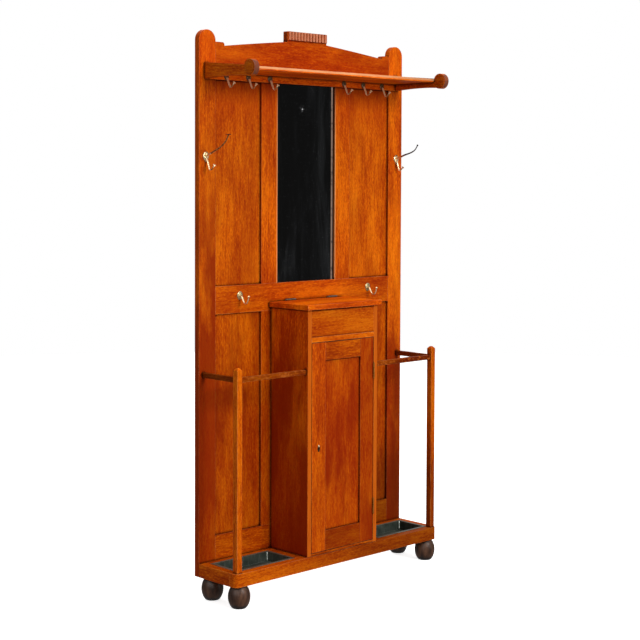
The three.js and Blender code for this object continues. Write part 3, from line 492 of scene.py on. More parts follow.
# start of the node's name: (grain, edge width in mm, light, red, extra settings of the oak)
OAK_NODES = {
    "post_left": ("Z", 0.9, 1.20, 0.42, dict(raw_back=True, red_below=(1.15, 1.7), bands=[POST_HEAD])),
    "post_right": ("Z", 0.9, 1.20, 0.42, dict(raw_back=True, red_below=(0.72, 2.0), bands=[dark_foot(0.33)])),
    "muntin_left": ("Z", 0.35, 1.10, 0.28, dict(raw_back=True, red_below=(0.90, 1.6), bands=UPRIGHT_BANDS)),
    "muntin_right": ("Z", 0.35, 1.10, 0.28, dict(
        raw_back=True, red_below=(1.0, 1.7), bands=[*UPRIGHT_BANDS, dark_foot(0.55)])),
    "upper_panel_": ("Z", 0.3, 1.04, 0.32, UPPER),
    "lower_panel_left": ("Z", 0.3, 1.03, 0.55, LOWER),
    "lower_panel_centre": ("Z", 0.3, 1.03, 0.55, LOWER),
    "lower_panel_right": ("Z", 0.3, 1.03, 0.55, LOWER_RIGHT),
    "top_rail": ("X", 0.6, 0.82, 0.62, dict(raw_back=True, bands=[redder(0.25)])),
    "mid_rail": ("X", 0.35, 1.03, 0.34, dict(raw_back=True, worn=0.6, bands=[redder(0.12)])),
    "bottom_rail": ("X", 0.35, 0.98, 0.30, dict(raw_back=True, dark_end=(0.30, 0.36, 0.55))),
    "shelf_bracket_": ("Y", 1.0, 1.0, 0.25, dict(front=(bracket_low.y + ROUNDEL_RADIUS, 0, NOSE_TINT))),
    # The hat shelf's light is raised as painted light, brightening its underside as bounced light would.
    "hat_shelf": ("X", 1.2, 1.50, 0.40, dict(
        front=(shelf_low.y + MM, shelf_low.z + 4 * MM, OAK_WORN), dark_end=(0.10, 0.42, 0.28))),
    "hook_rail": ("X", 0.5, 2.0, 0.25, {}),
    "base_front_rail": ("X", 1.2, 1.06, 0.12, dict(worn=0.6, dark_end=(-0.45, 0.30, 0.52))),
    "base_back_rail": ("X", 0.5, 0.9, 0.4, {}),
    "base_end_rail_": ("Y", 1.2, 1.0, 0.25, dict(worn=0.5)),
    "cabinet_floor": ("X", 0.5, 0.9, 0.4, {}),
    "cabinet_side_": ("Z", 0.8, 1.32, 0.30, CABINET_SIDE),
    "glove_box_floor": ("X", 0.5, 1.14, 0.25, dict(worn=0.6)),
    "glove_box_front": ("X", 0.5, 0.90, 0.38, dict(bands=GLOVE_LINES)),
    # The lid's light is raised as painted light on its top.
    "glove_box_lid": ("X", 1.6, 1.38, 0.30, dict(worn=0.7)),
    "door_stile_lock": ("Z", 0.7, 1.18, 0.30, dict(red_below=(0.6, 0.8))),
    "door_stile_hinge": ("Z", 0.7, 0.80, 0.8, dict(bands=[redder(0.4)])),
    "door_rail_top": ("X", 0.7, 0.88, 0.60, dict(bands=[at_top("door_rail_top")])),
    "door_rail_bottom": ("X", 0.7, 0.60, 0.8, dict(bands=[redder(0.35)])),
    "door_panel": ("Z", 0.3, 0.93, 0.9, dict(bands=[redder(0.3), under("door_rail_top")])),
    "umbrella_post_left": ("Z", 0.9, 1.05, 0.10, dict(worn=0.7)),
    "umbrella_post_right": ("Z", 0.9, 1.05, 0.10, dict(worn=0.7, bands=[dark_foot(0.35)])),
    "umbrella_side_rail_": ("Y", 0.8, 0.42, 0.6, {}),
    "umbrella_front_rail_": ("X", 0.8, 0.50, 1.5, dict(worn=0.7, chipped=0.85)),
}
# What a single board's light is multiplied by, where it differs from its neighbours'.
OWN_LIGHT = {
    "muntin_left": 1.04,
    "muntin_right": 1.01,
    "upper_panel_right": 1.06,
    "umbrella_post_left": 1.05,
    "umbrella_post_right": 0.85,
}

for node_name in sorted(frame["nodes"]):
    for part, (grain, edge_mm, light, red, extra) in OAK_NODES.items():
        if node_name.startswith(part):
            light *= draw.uniform(0.97, 1.03) * OWN_LIGHT.get(node_name, 1.0)
            finish_node(node_name, oak(f"oak_{node_name}", grain, light, red, **extra), edge_mm)

brass_cast = aged_metal("brass_cast", **BRASS)
brass_dull = aged_metal("brass_dull", **dict(BRASS, roughness=0.36, share=0.9))
brass_pale = aged_metal("brass_pale", metallic=0.3, **IVORY)
dark_bronze = aged_metal("dark_bronze", **DARK_BRONZE)
hinge_brass = aged_metal("hinge_brass", metallic=0.9, **HINGE)
steel_dull = aged_metal("steel_dull", **STEEL)
for side, _ in SIDES:
    rim_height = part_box(f"drip_tray_{side}")[1].z
    finish_node(f"drip_tray_{side}", zinc_sheet(f"zinc_{side}", rim_height), 0.5)
    finish_node(f"lid_hinge_{side}", steel_dull, 0.2, 1)
for place in ("upper", "lower"):
    finish_node(f"door_hinge_{place}", hinge_brass, 0.2, 1)
finish_node("lock_bolt", brass_cast, 0.4)


# -------- mesh building
def in_scene(name, data):
    """An object of the scene that carries this mesh, light or camera."""
    item = bpy.data.objects.new(name, data)
    bpy.context.scene.collection.objects.link(item)
    return item


def link(name, mesh, material, body):
    """A piece that rides on a body of the stand."""
    piece = in_scene(name, mesh)
    paint(piece, material)
    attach(piece, body)
    return piece


def make(name, solid, material, body, smooth=True):
    return link(name, solid.mesh(name, smooth), material, body)


class Solid:
    """Vertices and faces collected from several closed forms."""

    def __init__(self):
        self.vertices = []
        self.faces = []

    def add(self, vertices, faces):
        start = len(self.vertices)
        self.vertices += [Vector(v) for v in vertices]
        self.faces += [tuple(i + start for i in face) for face in faces]
        return self

    def rings(self, rings, loop=False):
        """Joins rings of equal length with quads, and closes both ends or joins the last to the first."""
        count = len(rings[0])
        last = (len(rings) - 1) * count
        faces = []
        for here in range(0, last + count if loop else last, count):
            there = 0 if here == last else here + count
            for j in range(count):
                k = (j + 1) % count
                faces.append((here + j, here + k, there + k, there + j))
        if not loop:
            faces += [tuple(range(count)), tuple(range(last, last + count))]
        return self.add([v for ring in rings for v in ring], faces)

    def lathe(self, profile, turn=Matrix.Identity(4), segments=32, stretch=1.0):
        """Turns (radius, height) pairs about Z. stretch widens the form along X."""
        angles = [2 * math.pi * i / segments for i in range(segments)]
        circle = [(stretch * math.cos(angle), math.sin(angle)) for angle in angles]
        return self.rings([
            [turn @ Vector((radius * across, radius * along, height)) for across, along in circle]
            for radius, height in profile
        ])

    def block(self, low, high):
        (x0, y0, z0), (x1, y1, z1) = low, high
        lower = [(x0, y0, z0), (x1, y0, z0), (x1, y1, z0), (x0, y1, z0)]
        upper = [(x, y, z1) for x, y, _ in lower]
        return self.rings([lower, upper])

    def tube(self, x, path, depths, widths, sides=16):
        """An oval bar along (y, z) points at one x, with its half sizes along and across X at each point."""
        rings = []
        for i, (y, z) in enumerate(path):
            before, after = path[max(i - 1, 0)], path[min(i + 1, len(path) - 1)]
            along = Vector((0, after[0] - before[0], after[1] - before[1])).normalized()
            across = Vector((0, -along.z, along.y))
            ring = []
            for j in range(sides):
                angle = 2 * math.pi * j / sides
                offset = across * math.cos(angle) * depths[i] + Vector((widths[i] * math.sin(angle), 0, 0))
                ring.append(Vector((x, y, z)) + offset)
            rings.append(ring)
        return self.rings(rings)

    def mesh(self, name, smooth=True):
        """A mesh whose faces all look outwards."""
        mesh = bpy.data.meshes.new(name)
        mesh.from_pydata([tuple(v) for v in self.vertices], [], self.faces)
        mesh.validate()
        build = bmesh.new()
        build.from_mesh(mesh)
        bmesh.ops.recalc_face_normals(build, faces=build.faces)
        build.to_mesh(mesh)
        build.free()
        for polygon in mesh.polygons:
            polygon.use_smooth = smooth
        return mesh


def in_mm(profile):
    """A profile that is drawn in millimetres, in metres."""
    return [(radius * MM, height * MM) for radius, height in profile]


def smooth_route(points, per_span=6):
    """Catmull-Rom curve through (y, z) points."""
    padded = [points[0], *points, points[-1]]
    route = []
    for i in range(1, len(padded) - 2):
        p0, p1, p2, p3 = (Vector(padded[i + k]) for k in (-1, 0, 1, 2))
        for k in range(per_span):
            t = k / per_span
            route.append(tuple(0.5 * (
                2 * p1 + (p2 - p0) * t
                + (2 * p0 - 5 * p1 + 4 * p2 - p3) * t * t
                + (3 * p1 - p0 - 3 * p2 + p3) * t ** 3
            )))
    route.append(tuple(points[-1]))
    return route


def facing_front(x, y, z):
    """Turns a form built upwards along Z so that it stands out from an upright face, at this point."""
    return Matrix.Translation((x, y, z)) @ Matrix.Rotation(QUARTER, 4, "X")


def dome(radius, height, steps=5):
    """Profile of a low dome with a small upright rim."""
    profile = [(0, 0), (radius, 0), (radius, height * 0.35)]
    for i in range(1, steps + 1):
        angle = QUARTER * i / steps
        profile.append((radius * math.cos(angle), height * (0.35 + 0.65 * math.sin(angle))))
    return profile


def cut_slot(head, cutter_size, turn):
    """Cuts a straight slot into the top of a screw head."""
    x, y, z = (v / 2 for v in cutter_size)
    cutter = in_scene("slot_cutter", Solid().block((-x, -y, -z), (x, y, z)).mesh("slot_cutter", smooth=False))
    cutter.matrix_world = turn
    carrier = in_scene("slot_carrier", head)
    boolean = carrier.modifiers.new("slot", "BOOLEAN")
    boolean.operation = "DIFFERENCE"
    boolean.object = cutter
    bpy.context.view_layer.update()
    evaluated = carrier.evaluated_get(bpy.context.evaluated_depsgraph_get())
    slotted = bpy.data.meshes.new_from_object(evaluated)
    bpy.data.objects.remove(cutter)
    bpy.data.objects.remove(carrier)
    return slotted


SCREW_RADIUS = 2.4 * MM
SCREW_RISE = 0.8 * MM
SLOT_CUTTER = (6 * MM, 0.6 * MM, 0.9 * MM)
plain_head = Solid().lathe(dome(SCREW_RADIUS, SCREW_RISE), segments=24).mesh("screw_head")
screw_head = cut_slot(plain_head, SLOT_CUTTER, Matrix.Translation((0, 0, SCREW_RISE)))


def screw(name, place, direction, material, body, size=1.0):
    """A slotted screw head at a place, standing out along a direction."""
    piece = link(name, screw_head.copy(), material, body)
    turn = Vector(direction).to_track_quat("Z", "Y").to_matrix().to_4x4()
    slot_turn = Matrix.Rotation(draw.uniform(0, math.pi), 4, "Z")
    piece.data.transform(Matrix.Translation(place) @ turn @ slot_turn @ Matrix.Scale(size, 4))


# -------- hooks
# Routes are (reach, height) in millimetres from the middle of the back plate, and profiles are
# (radius, height). The arm of a hook is a flat bar that turns rounder and thinner towards its end.
def add_arm(solid, x, y, z, route, widths, depths):
    """Sweeps an oval bar along a route. widths and depths are half sizes at its start and end."""
    path = smooth_route([(y - reach * MM, z + height * MM) for reach, height in route])
    shares = [i / (len(path) - 1) for i in range(len(path))]
    wide, deep = ([(a + (b - a) * t) * MM for t in shares] for a, b in (widths, depths))
    solid.tube(x, path, deep, wide)


BUTTON = [
    (0.1, -1.4), (2.6, -1.2), (4.6, -0.7), (5.3, 0.0), (5.0, 0.6), (3.6, 1.05), (1.8, 1.25), (0.1, 1.3),
]
HAT_DISC = [
    (0.1, -2.2), (3.0, -1.7), (7.8, -1.0), (9.2, -0.5), (9.5, 0.1), (9.0, 0.7), (6.0, 1.2), (0.1, 1.5),
]
KNOB = [(0.1, -3.3), (1.9, -2.6), (3.0, -1.3), (3.35, 0.2), (3.0, 1.7), (1.9, 2.8), (0.1, 3.3)]
ACORN = [
    (0.1, -3.8), (2.3, -3.3), (3.7, -1.8), (4.2, 0.0), (3.8, 1.8), (2.6, 3.2), (1.0, 4.0), (0.1, 4.1),
]
FORWARD = math.pi / 4


def hook_place(node_name):
    """Middle, across the stand, and back face of a hook, from its CAD solid."""
    low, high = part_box(node_name)
    return (low.x + high.x) / 2, high.y


def round_plate(solid, x, y, z, half_width, half_height, rise):
    stretch = half_width / half_height
    solid.lathe(dome(half_height * MM, rise * MM), facing_front(x, y, z), segments=40, stretch=stretch)


def shield_plate(solid, x, y, z, half_width, half_height, rise):
    """A domed plate, round at the top and drawn in to a point at the bottom."""
    outline = []
    for i in range(48):
        angle = 2 * math.pi * i / 48
        across, up = math.cos(angle), math.sin(angle)
        narrowing = 1.0 if up > 0 else 1.0 - 0.62 * (-up) ** 1.4
        outline.append((across * narrowing * half_width * MM, up * half_height * MM))
    levels = [(1.0, 0.0), (1.0, 0.4), (0.93, 0.62), (0.75, 0.85), (0.45, 0.97), (0.1, 1.0)]
    rings = []
    for share, level in levels:
        rings.append([Vector((x + a * share, y - level * rise * MM, z + b * share)) for a, b in outline])
    solid.rings(rings)


def hook_solid(node_name, height, plate, size, arms, ends):
    """One cast hook: a plate, its arms, and the button or knob on each arm's end. Ends are (profile, how
    far it leans forward)."""
    x, y = hook_place(node_name)
    z = height * MM
    solid = Solid()
    plate(solid, x, y, z, *size)
    for route, widths, depths in arms:
        add_arm(solid, x, y, z, route, widths, depths)
    for (route, _, _), (profile, lean) in zip(arms, ends):
        reach, rise = route[-1]
        tip = Matrix.Translation((x, y - reach * MM, z + rise * MM))
        solid.lathe(in_mm(profile), tip @ Matrix.Rotation(lean, 4, "X"), segments=28)
    return solid


SMALL_ROUTE = [
    (0, -2), (5, -8), (9, -16), (14, -27), (18, -35), (22.5, -38.5), (28, -37), (36, -29.5), (42, -23),
]
MID_ROUTE = [(0, 0), (10, -3), (16, -12), (22, -22), (30, -26.5), (38, -23), (44, -13), (47, -1)]
COAT_ROUTES = {
    "left": (
        [(0, 2), (14, 6), (48, 19), (84, 35), (108, 54), (119.5, 73)],
        [(0, -2), (8, -12), (14, -26), (20, -41), (26, -46), (33, -43), (40, -36), (46.5, -29)],
    ),
    "right": (
        [(0, 3), (12, 7), (22, 10), (45, 18), (67, 23.5), (86, 30), (100, 39), (111, 54)],
        [(0, -3), (6, -10), (11, -25), (15, -37), (19.5, -42), (25, -40), (31, -34.5), (36, -29.5)],
    ),
}


def small_hook(name, height):
    arms = [(SMALL_ROUTE, (5.2, 2.6), (2.0, 1.5))]
    return hook_solid(name, height, round_plate, (11, 10.5, 2.2), arms, [(BUTTON, FORWARD)])


def mid_hook(name, height):
    arms = [(MID_ROUTE, (3.6, 2.3), (2.4, 2.1))]
    return hook_solid(name, height, round_plate, (12.5, 15, 3.0), arms, [(ACORN, 0.2)])


def coat_hook(name, height):
    upper, lower = COAT_ROUTES["left" if "left" in name else "right"]
    arms = [(upper, (3.6, 1.9), (4.2, 1.7)), (lower, (3.8, 2.3), (2.3, 1.9))]
    upper_end = (HAT_DISC, 0.0) if "left" in name else (KNOB, 0.0)
    return hook_solid(name, height, shield_plate, (12.5, 18, 3.4), arms, [upper_end, (BUTTON, FORWARD)])


COAT_SCREWS = [(-6.5, 2.6, 9.5), (6.5, 2.6, 9.5), (0, 2.4, -13)]
COAT_HEIGHT = 1518
# start of the node's name: (builder, height in mm, screw size, screw places). A place is (across, out, up)
# in mm from the middle of the plate.
HOOKS = {
    "rail_hook_": (small_hook, 1795, 0.62, [(-7.2, 1.5, 0), (7.2, 1.5, 0)]),
    "mid_hook_": (mid_hook, 1035, 0.85, [(-8.2, 1.9, 2), (8.2, 1.9, 2), (0, 2.0, -10.5)]),
    "coat_hook_left": (coat_hook, COAT_HEIGHT, 0.95, COAT_SCREWS),
    "coat_hook_right": (coat_hook, COAT_HEIGHT, 0.95, COAT_SCREWS),
}
CREAM = (1.0, 0.82, 0.50)


def arm_zones(y, bottom, tip):
    """Cream brass near the plate, browner past the lowest point of the arm, and bright again at its tip."""
    return [
        (1, y - bottom * MM, y - (bottom + 4) * MM, BROWN_BRASS),
        (1, y - (tip - 3) * MM, y - tip * MM, CREAM),
    ]


rail_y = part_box("rail_hook_left_inner")[1].y
mid_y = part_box("mid_hook_left")[1].y
post_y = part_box("coat_hook_left")[1].y


def above_plate(start, end, tint):
    """A tint that grows from one height to another, in mm above the middle of a coat hook's plate."""
    return (2, (COAT_HEIGHT + start) * MM, (COAT_HEIGHT + end) * MM, tint)


COAT_ARMS = [*arm_zones(post_y, 28, 42), above_plate(10, 16, BROWN_BRASS)]
HOOK_METALS = {
    "rail_hook_": [(1, rail_y, rail_y - 4 * MM, CREAM), (1, rail_y - 6 * MM, rail_y - 3 * MM, OLIVE),
                   *arm_zones(rail_y, 23, 39)],
    "mid_hook_": [(1, mid_y - 8 * MM, mid_y - 5 * MM, DULL_CREAM)],
    "coat_hook_left": [*COAT_ARMS, above_plate(66, 70, MAROON)],
    "coat_hook_right": [*COAT_ARMS, above_plate(10, 22, BLACKENED)],
}
CAST_IVORY = dict(IVORY, metallic=0.75)
HOOK_FINISHES = {
    "rail_hook_": dict(IVORY, clean=(1.0, 0.78, 0.50), tarnish=(0.85, 0.54, 0.27), metallic=0.12),
}
for part, (build_hook, height, size, places) in HOOKS.items():
    metal = aged_metal(f"cast_{part}", zones=HOOK_METALS[part], **HOOK_FINISHES.get(part, CAST_IVORY))
    for node_name in sorted(n for n in frame["nodes"] if n.startswith(part)):
        cast = make(f"{node_name}_cast", build_hook(node_name, height), metal, "stand")
        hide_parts(node_name)
        x, y = hook_place(node_name)
        for i, (across, out, up) in enumerate(places):
            place = (x + across * MM, y - out * MM, (height + up) * MM)
            screw(f"{node_name}_screw_{i + 1}", place, (0, -1, 0), brass_dull, "stand", size)


# -------- ball feet
def turned_foot(name):
    low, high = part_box(name)
    radius = (high.x - low.x) / 2
    half = (high.z - low.z) / 2
    flat = 24 * MM
    half_height = half / math.sqrt(1 - (flat / radius) ** 2)
    steps = 28
    profile = [(flat * 0.5, -half), (flat * 0.98, -half), (flat, -half + 0.4 * MM)]
    for i in range(1, steps):
        height = -half + 2 * half * i / steps
        profile.append((radius * math.sqrt(1 - (height / half_height) ** 2), height))
    profile += [(flat, half - 0.4 * MM), (flat * 0.98, half), (flat * 0.5, half)]
    centre = Matrix.Translation(((low.x + high.x) / 2, (low.y + high.y) / 2, half))
    return Solid().lathe(profile, centre, segments=64)


for node_name in sorted(frame["nodes"]):
    if node_name.startswith("ball_foot_"):
        material = turned_wood(f"turned_{node_name}")
        foot = make(f"{node_name}_turned", turned_foot(node_name), material, "stand")
        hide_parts(node_name)


# -------- crest cap
FRONT_REEDS = 13
END_REEDS = 2


def crest_cap():
    """A block with half-round reeds on its front and ends, and softened upper and lower edges."""
    low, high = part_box("crest_cap")
    rise = 3.5 * MM
    steps = 14
    left, right, front = low.x + rise, high.x - rise, low.y + rise
    outline = []

    def reeds(start, end, count, out):
        for i in range(count * steps):
            along = i / (count * steps)
            across = 2 * ((along * count) % 1.0) - 1
            swell = rise * math.sqrt(max(0.0, 1 - across * across))
            point = Vector(start).lerp(Vector(end), along) + Vector(out) * swell
            outline.append(point)

    reeds((left, high.y), (left, front), END_REEDS, (-1, 0))
    reeds((left, front), (right, front), FRONT_REEDS, (0, -1))
    reeds((right, front), (right, high.y), END_REEDS, (1, 0))
    outline.append(Vector((right, high.y)))
    middle = Vector(((left + right) / 2, high.y))
    width, depth = high.x - low.x, high.y - low.y
    lower_edge = [(1.0, low.z), (0, low.z + 0.8 * MM)]
    upper_edge = [(0, high.z - 1.2 * MM), (0.5, high.z - 0.4 * MM), (1.3, high.z)]
    rings = []
    for inset, z in lower_edge + upper_edge:
        shrink = Vector((1 - 2 * inset * MM / width, 1 - inset * MM / depth))
        rings.append([Vector((
            middle.x + (p.x - middle.x) * shrink.x,
            middle.y + (p.y - middle.y) * shrink.y,
            z,
        )) for p in outline])
    return Solid().rings(rings)


cap_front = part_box("crest_cap")[0].y
# Painted shade darkens the reeds' grooves, starting 0.6 mm behind their fronts and full at 2.6 mm; a painted
# highlight lightens their crests.
REED_GROOVE_SHADE = (1, -cap_front - 0.6 * MM, -cap_front - 2.6 * MM, 0.95, OAK_GRIME_AND_SHADE)
REED_CREST_HIGHLIGHT = (0.46, 0.185, 0.100)
crest_highlight_faces = (cap_front + 0.4 * MM, 0, REED_CREST_HIGHLIGHT)
cap_oak = oak("oak_crest_cap", "X", light=0.85, red=0.5, front=crest_highlight_faces, bands=[REED_GROOVE_SHADE])
cap = make("crest_cap_reeded", crest_cap(), cap_oak, "stand", smooth=False)
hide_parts("crest_cap")


# -------- bracket roundels
ROUNDEL_HEIGHT = 1809 * MM
BOSS = [(22.5, -0.5), (22.5, 0.9), (21.8, 1.4), (19.5, 1.5), (18.6, 1.0), (17.8, 1.5), (9, 2.0), (0.3, 2.2)]
for side, sign in SIDES:
    low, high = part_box(f"shelf_bracket_{side}")
    outer_x, inner_x = (high.x, low.x) if sign > 0 else (low.x, high.x)
    for face, x, out in (("outer", outer_x, sign), ("inner", inner_x, -sign)):
        centre = Matrix.Translation((x, low.y + ROUNDEL_RADIUS, ROUNDEL_HEIGHT))
        turn = centre @ Matrix.Rotation(out * QUARTER, 4, "Y")
        solid = Solid().lathe(in_mm(BOSS), turn, segments=56)
        name = f"bracket_roundel_{side}_{face}"
        make(name, solid, oak(f"oak_{name}", "Y", light=0.72, red=0.6), "stand")


# -------- door furniture
def keyhole_outline(radius, drop, width, count=20):
    """Round at the top, with a straight slot below it, as (x, z) points."""
    start = -QUARTER + math.asin(width / 2 / radius)
    points = []
    for i in range(count + 1):
        angle = start + (2 * math.pi - 2 * math.asin(width / 2 / radius)) * i / count
        points.append((radius * math.cos(angle), radius * math.sin(angle)))
    points.append((-width / 2, -drop))
    points.append((width / 2, -drop))
    return points


def escutcheon(x, y, z):
    """An oval plate with a raised lip round its keyhole."""
    half_width, half_height, centre = 5.5, 12.5, -1.5
    hole = keyhole_outline(2.8, 8.2, 2.8)
    oval = []
    for a, b in hole:
        angle = math.atan2((b - centre) / half_height, a / half_width)
        oval.append((half_width * math.cos(angle), centre + half_height * math.sin(angle)))
    levels = []
    for share, out in ((1.0, 0.0), (1.0, 0.5), (0.85, 0.9), (0.35, 1.2), (0.12, 1.7), (0.0, 1.7), (0.0, 0.0)):
        ring = []
        for (a, b), (c, d) in zip(hole, oval):
            across, up = a + (c - a) * share, b + (d - b) * share
            ring.append((x + across * MM, y - out * MM, z + up * MM))
        levels.append(ring)
    return Solid().rings(levels, loop=True)


lock_low, lock_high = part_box("door_stile_lock")
bolt_low, bolt_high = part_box("lock_bolt")
lock_z = (bolt_low.z + bolt_high.z) / 2
KEYHOLE_INSET = 33 * MM
keyhole_x = lock_low.x + KEYHOLE_INSET
plate = escutcheon(keyhole_x, lock_low.y, lock_z)
make("keyhole_escutcheon", plate, dark_bronze, "door")
pin_place = (keyhole_x, lock_low.y - 1.0 * MM, lock_z + 7.5 * MM)
escutcheon_pin = Solid().lathe(dome(3.4 * MM, 1.9 * MM), facing_front(*pin_place), segments=28)
make("escutcheon_pin", escutcheon_pin, brass_pale, "door")

CASE_WIDTH, CASE_HEIGHT, CASE_RISE = 56 * MM, 46 * MM, 5.5 * MM
case_low = (lock_low.x + 1.5 * MM, lock_high.y, lock_z - CASE_HEIGHT / 2)
case_high = (lock_low.x + CASE_WIDTH, lock_high.y + CASE_RISE, lock_z + CASE_HEIGHT / 2)
case_solid = Solid().block(case_low, case_high)
soften(make("lock_case", case_solid, steel_dull, "door", smooth=False), 0.8 * MM)
for i, (across, up) in enumerate(((5, 6), (49, 6), (5, 40), (49, 40))):
    place = (case_low[0] + across * MM, case_high[1], case_low[2] + up * MM)
    screw(f"lock_case_screw_{i + 1}", place, (0, 1, 0), steel_dull, "door", 0.8)

side_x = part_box("cabinet_side_left")[1].x
BOLT_CLEARANCE = 1 * MM
strike_x = (side_x, side_x + 0.8 * MM)
hole_y = (bolt_low.y - BOLT_CLEARANCE, bolt_high.y + BOLT_CLEARANCE)
hole_z = (bolt_low.z - BOLT_CLEARANCE, bolt_high.z + BOLT_CLEARANCE)
plate_y = (hole_y[0] - 3 * MM, hole_y[1] + 5 * MM)
plate_z = (hole_z[0] - 12 * MM, hole_z[1] + 12 * MM)


def corners(x, ys, zs):
    """The four corners of a rectangle that looks along X."""
    return [(x, ys[0], zs[0]), (x, ys[1], zs[0]), (x, ys[1], zs[1]), (x, ys[0], zs[1])]


strike = Solid().rings([
    corners(strike_x[0], plate_y, plate_z),
    corners(strike_x[0], hole_y, hole_z),
    corners(strike_x[1], hole_y, hole_z),
    corners(strike_x[1], plate_y, plate_z),
], loop=True)
make("strike_plate", strike, brass_dull, "stand", smooth=False)


# -------- hinges: moving leaves and pins
def knuckle(radius, length, turn):
    chamfer = 0.25 * MM
    profile = [
        (radius * 0.4, 0), (radius - chamfer, 0), (radius, chamfer),
        (radius, length - chamfer), (radius - chamfer, length), (radius * 0.4, length),
    ]
    return Solid().lathe(profile, turn, segments=24)


def add_knuckle(leaf, length, turn):
    barrel = knuckle(BARREL, length, turn)
    leaf.add(barrel.vertices, barrel.faces)


def moving_knuckles(low, high):
    """Where the knuckles that turn start and end along a hinge: the second and the fourth of five."""
    pitch = (high - low + KNUCKLE_GAP) / KNUCKLES
    start = (low + high) / 2 - KNUCKLES * pitch / 2
    for i in range(1, KNUCKLES, 2):
        yield start + i * pitch + KNUCKLE_GAP / 2, start + (i + 1) * pitch - KNUCKLE_GAP / 2


door_joint = next(j for j in frame["joints"] if j["name"] == "door_swing")
lid_joint = next(j for j in frame["joints"] if j["name"] == "lid_lift")
LEAF = 1.1 * MM
LEAF_EDGE = 0.15 * MM
KNUCKLE_GAP = 0.4 * MM
BARREL = 2.8 * MM
KNUCKLES = 5
PIN_TIP = [(0.1, -2.2), (1.3, -1.9), (1.7, -1.2), (1.7, 0)]

pin_x, pin_y, _ = door_joint["pos_m"]
door_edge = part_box("door_stile_hinge")[1].x
for place in ("upper", "lower"):
    low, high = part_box(f"door_hinge_{place}")
    leaf = Solid().block((door_edge, lock_low.y, low.z), (door_edge + LEAF, lock_high.y, high.z))
    for z0, z1 in moving_knuckles(low.z, high.z):
        add_knuckle(leaf, z1 - z0, Matrix.Translation((pin_x, pin_y, z0)))
        leaf.block((door_edge, pin_y, z0), (door_edge + LEAF, lock_low.y, z1))
    moving = make(f"door_hinge_leaf_{place}", leaf, hinge_brass, "door", smooth=False)
    soften(moving, LEAF_EDGE, 1)
    tip = in_mm(PIN_TIP)
    profile = tip + [(radius, high.z - low.z - height) for radius, height in reversed(tip)]
    pin = Solid().lathe(profile, Matrix.Translation((pin_x, pin_y, low.z)), segments=20)
    make(f"door_hinge_pin_{place}", pin, hinge_brass, "stand")

_, pin_y, pin_z = lid_joint["pos_m"]
lid_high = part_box("glove_box_lid")[1]
for side, _ in SIDES:
    low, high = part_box(f"lid_hinge_{side}")
    leaf = Solid().block((low.x, lid_high.y, low.z), (high.x, lid_high.y + LEAF, lid_high.z + 0.4 * MM))
    for x0, x1 in moving_knuckles(low.x, high.x):
        turn = Matrix.Translation((x0, pin_y, pin_z)) @ Matrix.Rotation(QUARTER, 4, "Y")
        add_knuckle(leaf, x1 - x0, turn)
        leaf.block((x0, lid_high.y, lid_high.z), (x1, lid_high.y + LEAF, pin_z))
    moving = make(f"lid_hinge_leaf_{side}", leaf, steel_dull, "lid", smooth=False)
    soften(moving, LEAF_EDGE, 1)


# -------- mirror
glass_low, glass_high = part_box("mirror_glass")
wall_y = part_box("post_left")[1].y
MARGIN = 9.5 * MM
BEVEL = 8.5 * MM
BEVEL_DEPTH = 1.0 * MM
GLASS = {
    "half_width": (glass_high.x - glass_low.x) / 2,
    "half_height": (glass_high.z - glass_low.z) / 2,
    "middle": (glass_high.z + glass_low.z) / 2,
}
# A chip in the silvering, as (x, z).
CHIP = (-0.0145, 1.6950)


def pane(inset, y):
    """A rectangle of the glass, drawn in from its sides, at a depth."""
    x0, x1 = glass_low.x + inset, glass_high.x - inset
    z0, z1 = glass_low.z, glass_high.z
    return [Vector((x, y, z)) for x, z in ((x0, z0), (x1, z0), (x1, z1), (x0, z1))]


# The front is the silvering as it shows through the glass, which seems to rise towards the bevelled sides.
glass = Solid().rings([
    pane(0, glass_high.y),
    pane(0, glass_low.y + BEVEL_DEPTH),
    pane(MARGIN, glass_low.y),
    pane(MARGIN + BEVEL, glass_low.y + BEVEL_DEPTH),
])
silvering = old_mirror("old_mirror")
mirror = make("mirror_bevelled", glass, silvering, "stand", smooth=False)
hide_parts("mirror_glass")


def softwood(name, grain):
    """Plain planed pine, unpainted and darkened with age."""
    s = Shader(name)
    shift = (draw.uniform(-3, 3), 0, draw.uniform(-3, 3))
    straight = s.mapping(s.place(), shift=shift, turn=GRAIN_TURNS[grain])
    band = s.noise(straight, (55, 55, 1.8), detail=3)
    fibre = s.noise(straight, (900, 900, 18), detail=2)
    pine = ((0.35, (0.20, 0.105, 0.042)), (0.5, (0.34, 0.20, 0.090)), (0.65, (0.42, 0.265, 0.130)))
    colour = s.ramp(band, *pine)
    colour = s.shade(colour, s.line(fibre, 0.7, 0.6))
    # Painted shade in its corners.
    colour = s.mix(s.times(s.crevice(10 * MM), 0.6), colour, (0.05, 0.03, 0.015))
    s.set(Base_Color=colour, Roughness=0.78, Specular_IOR_Level=0.25)
    s.bump(s.plus(fibre, band), 0.2 * MM, 0.6)
    return s.material


BOARD_THICKNESS = 4 * MM
board_y = (glass_high.y + 0.2 * MM, glass_high.y + 0.2 * MM + BOARD_THICKNESS)
board = Solid().block(
    (glass_low.x + 1 * MM, board_y[0], glass_low.z + 1 * MM),
    (glass_high.x - 1 * MM, board_y[1], glass_high.z - 1 * MM),
)
board_pine = softwood("pine_board", "Z")
soften(make("mirror_backboard", board, board_pine, "stand", smooth=False), 0.4 * MM)
BATTEN = 9 * MM
batten_y = (board_y[1], wall_y - 0.6 * MM)
battens = {
    "left": ((glass_low.x, glass_low.z), (glass_low.x + BATTEN, glass_high.z)),
    "right": ((glass_high.x - BATTEN, glass_low.z), (glass_high.x, glass_high.z)),
    "bottom": ((glass_low.x + BATTEN, glass_low.z), (glass_high.x - BATTEN, glass_low.z + BATTEN)),
    "top": ((glass_low.x + BATTEN, glass_high.z - BATTEN), (glass_high.x - BATTEN, glass_high.z)),
}
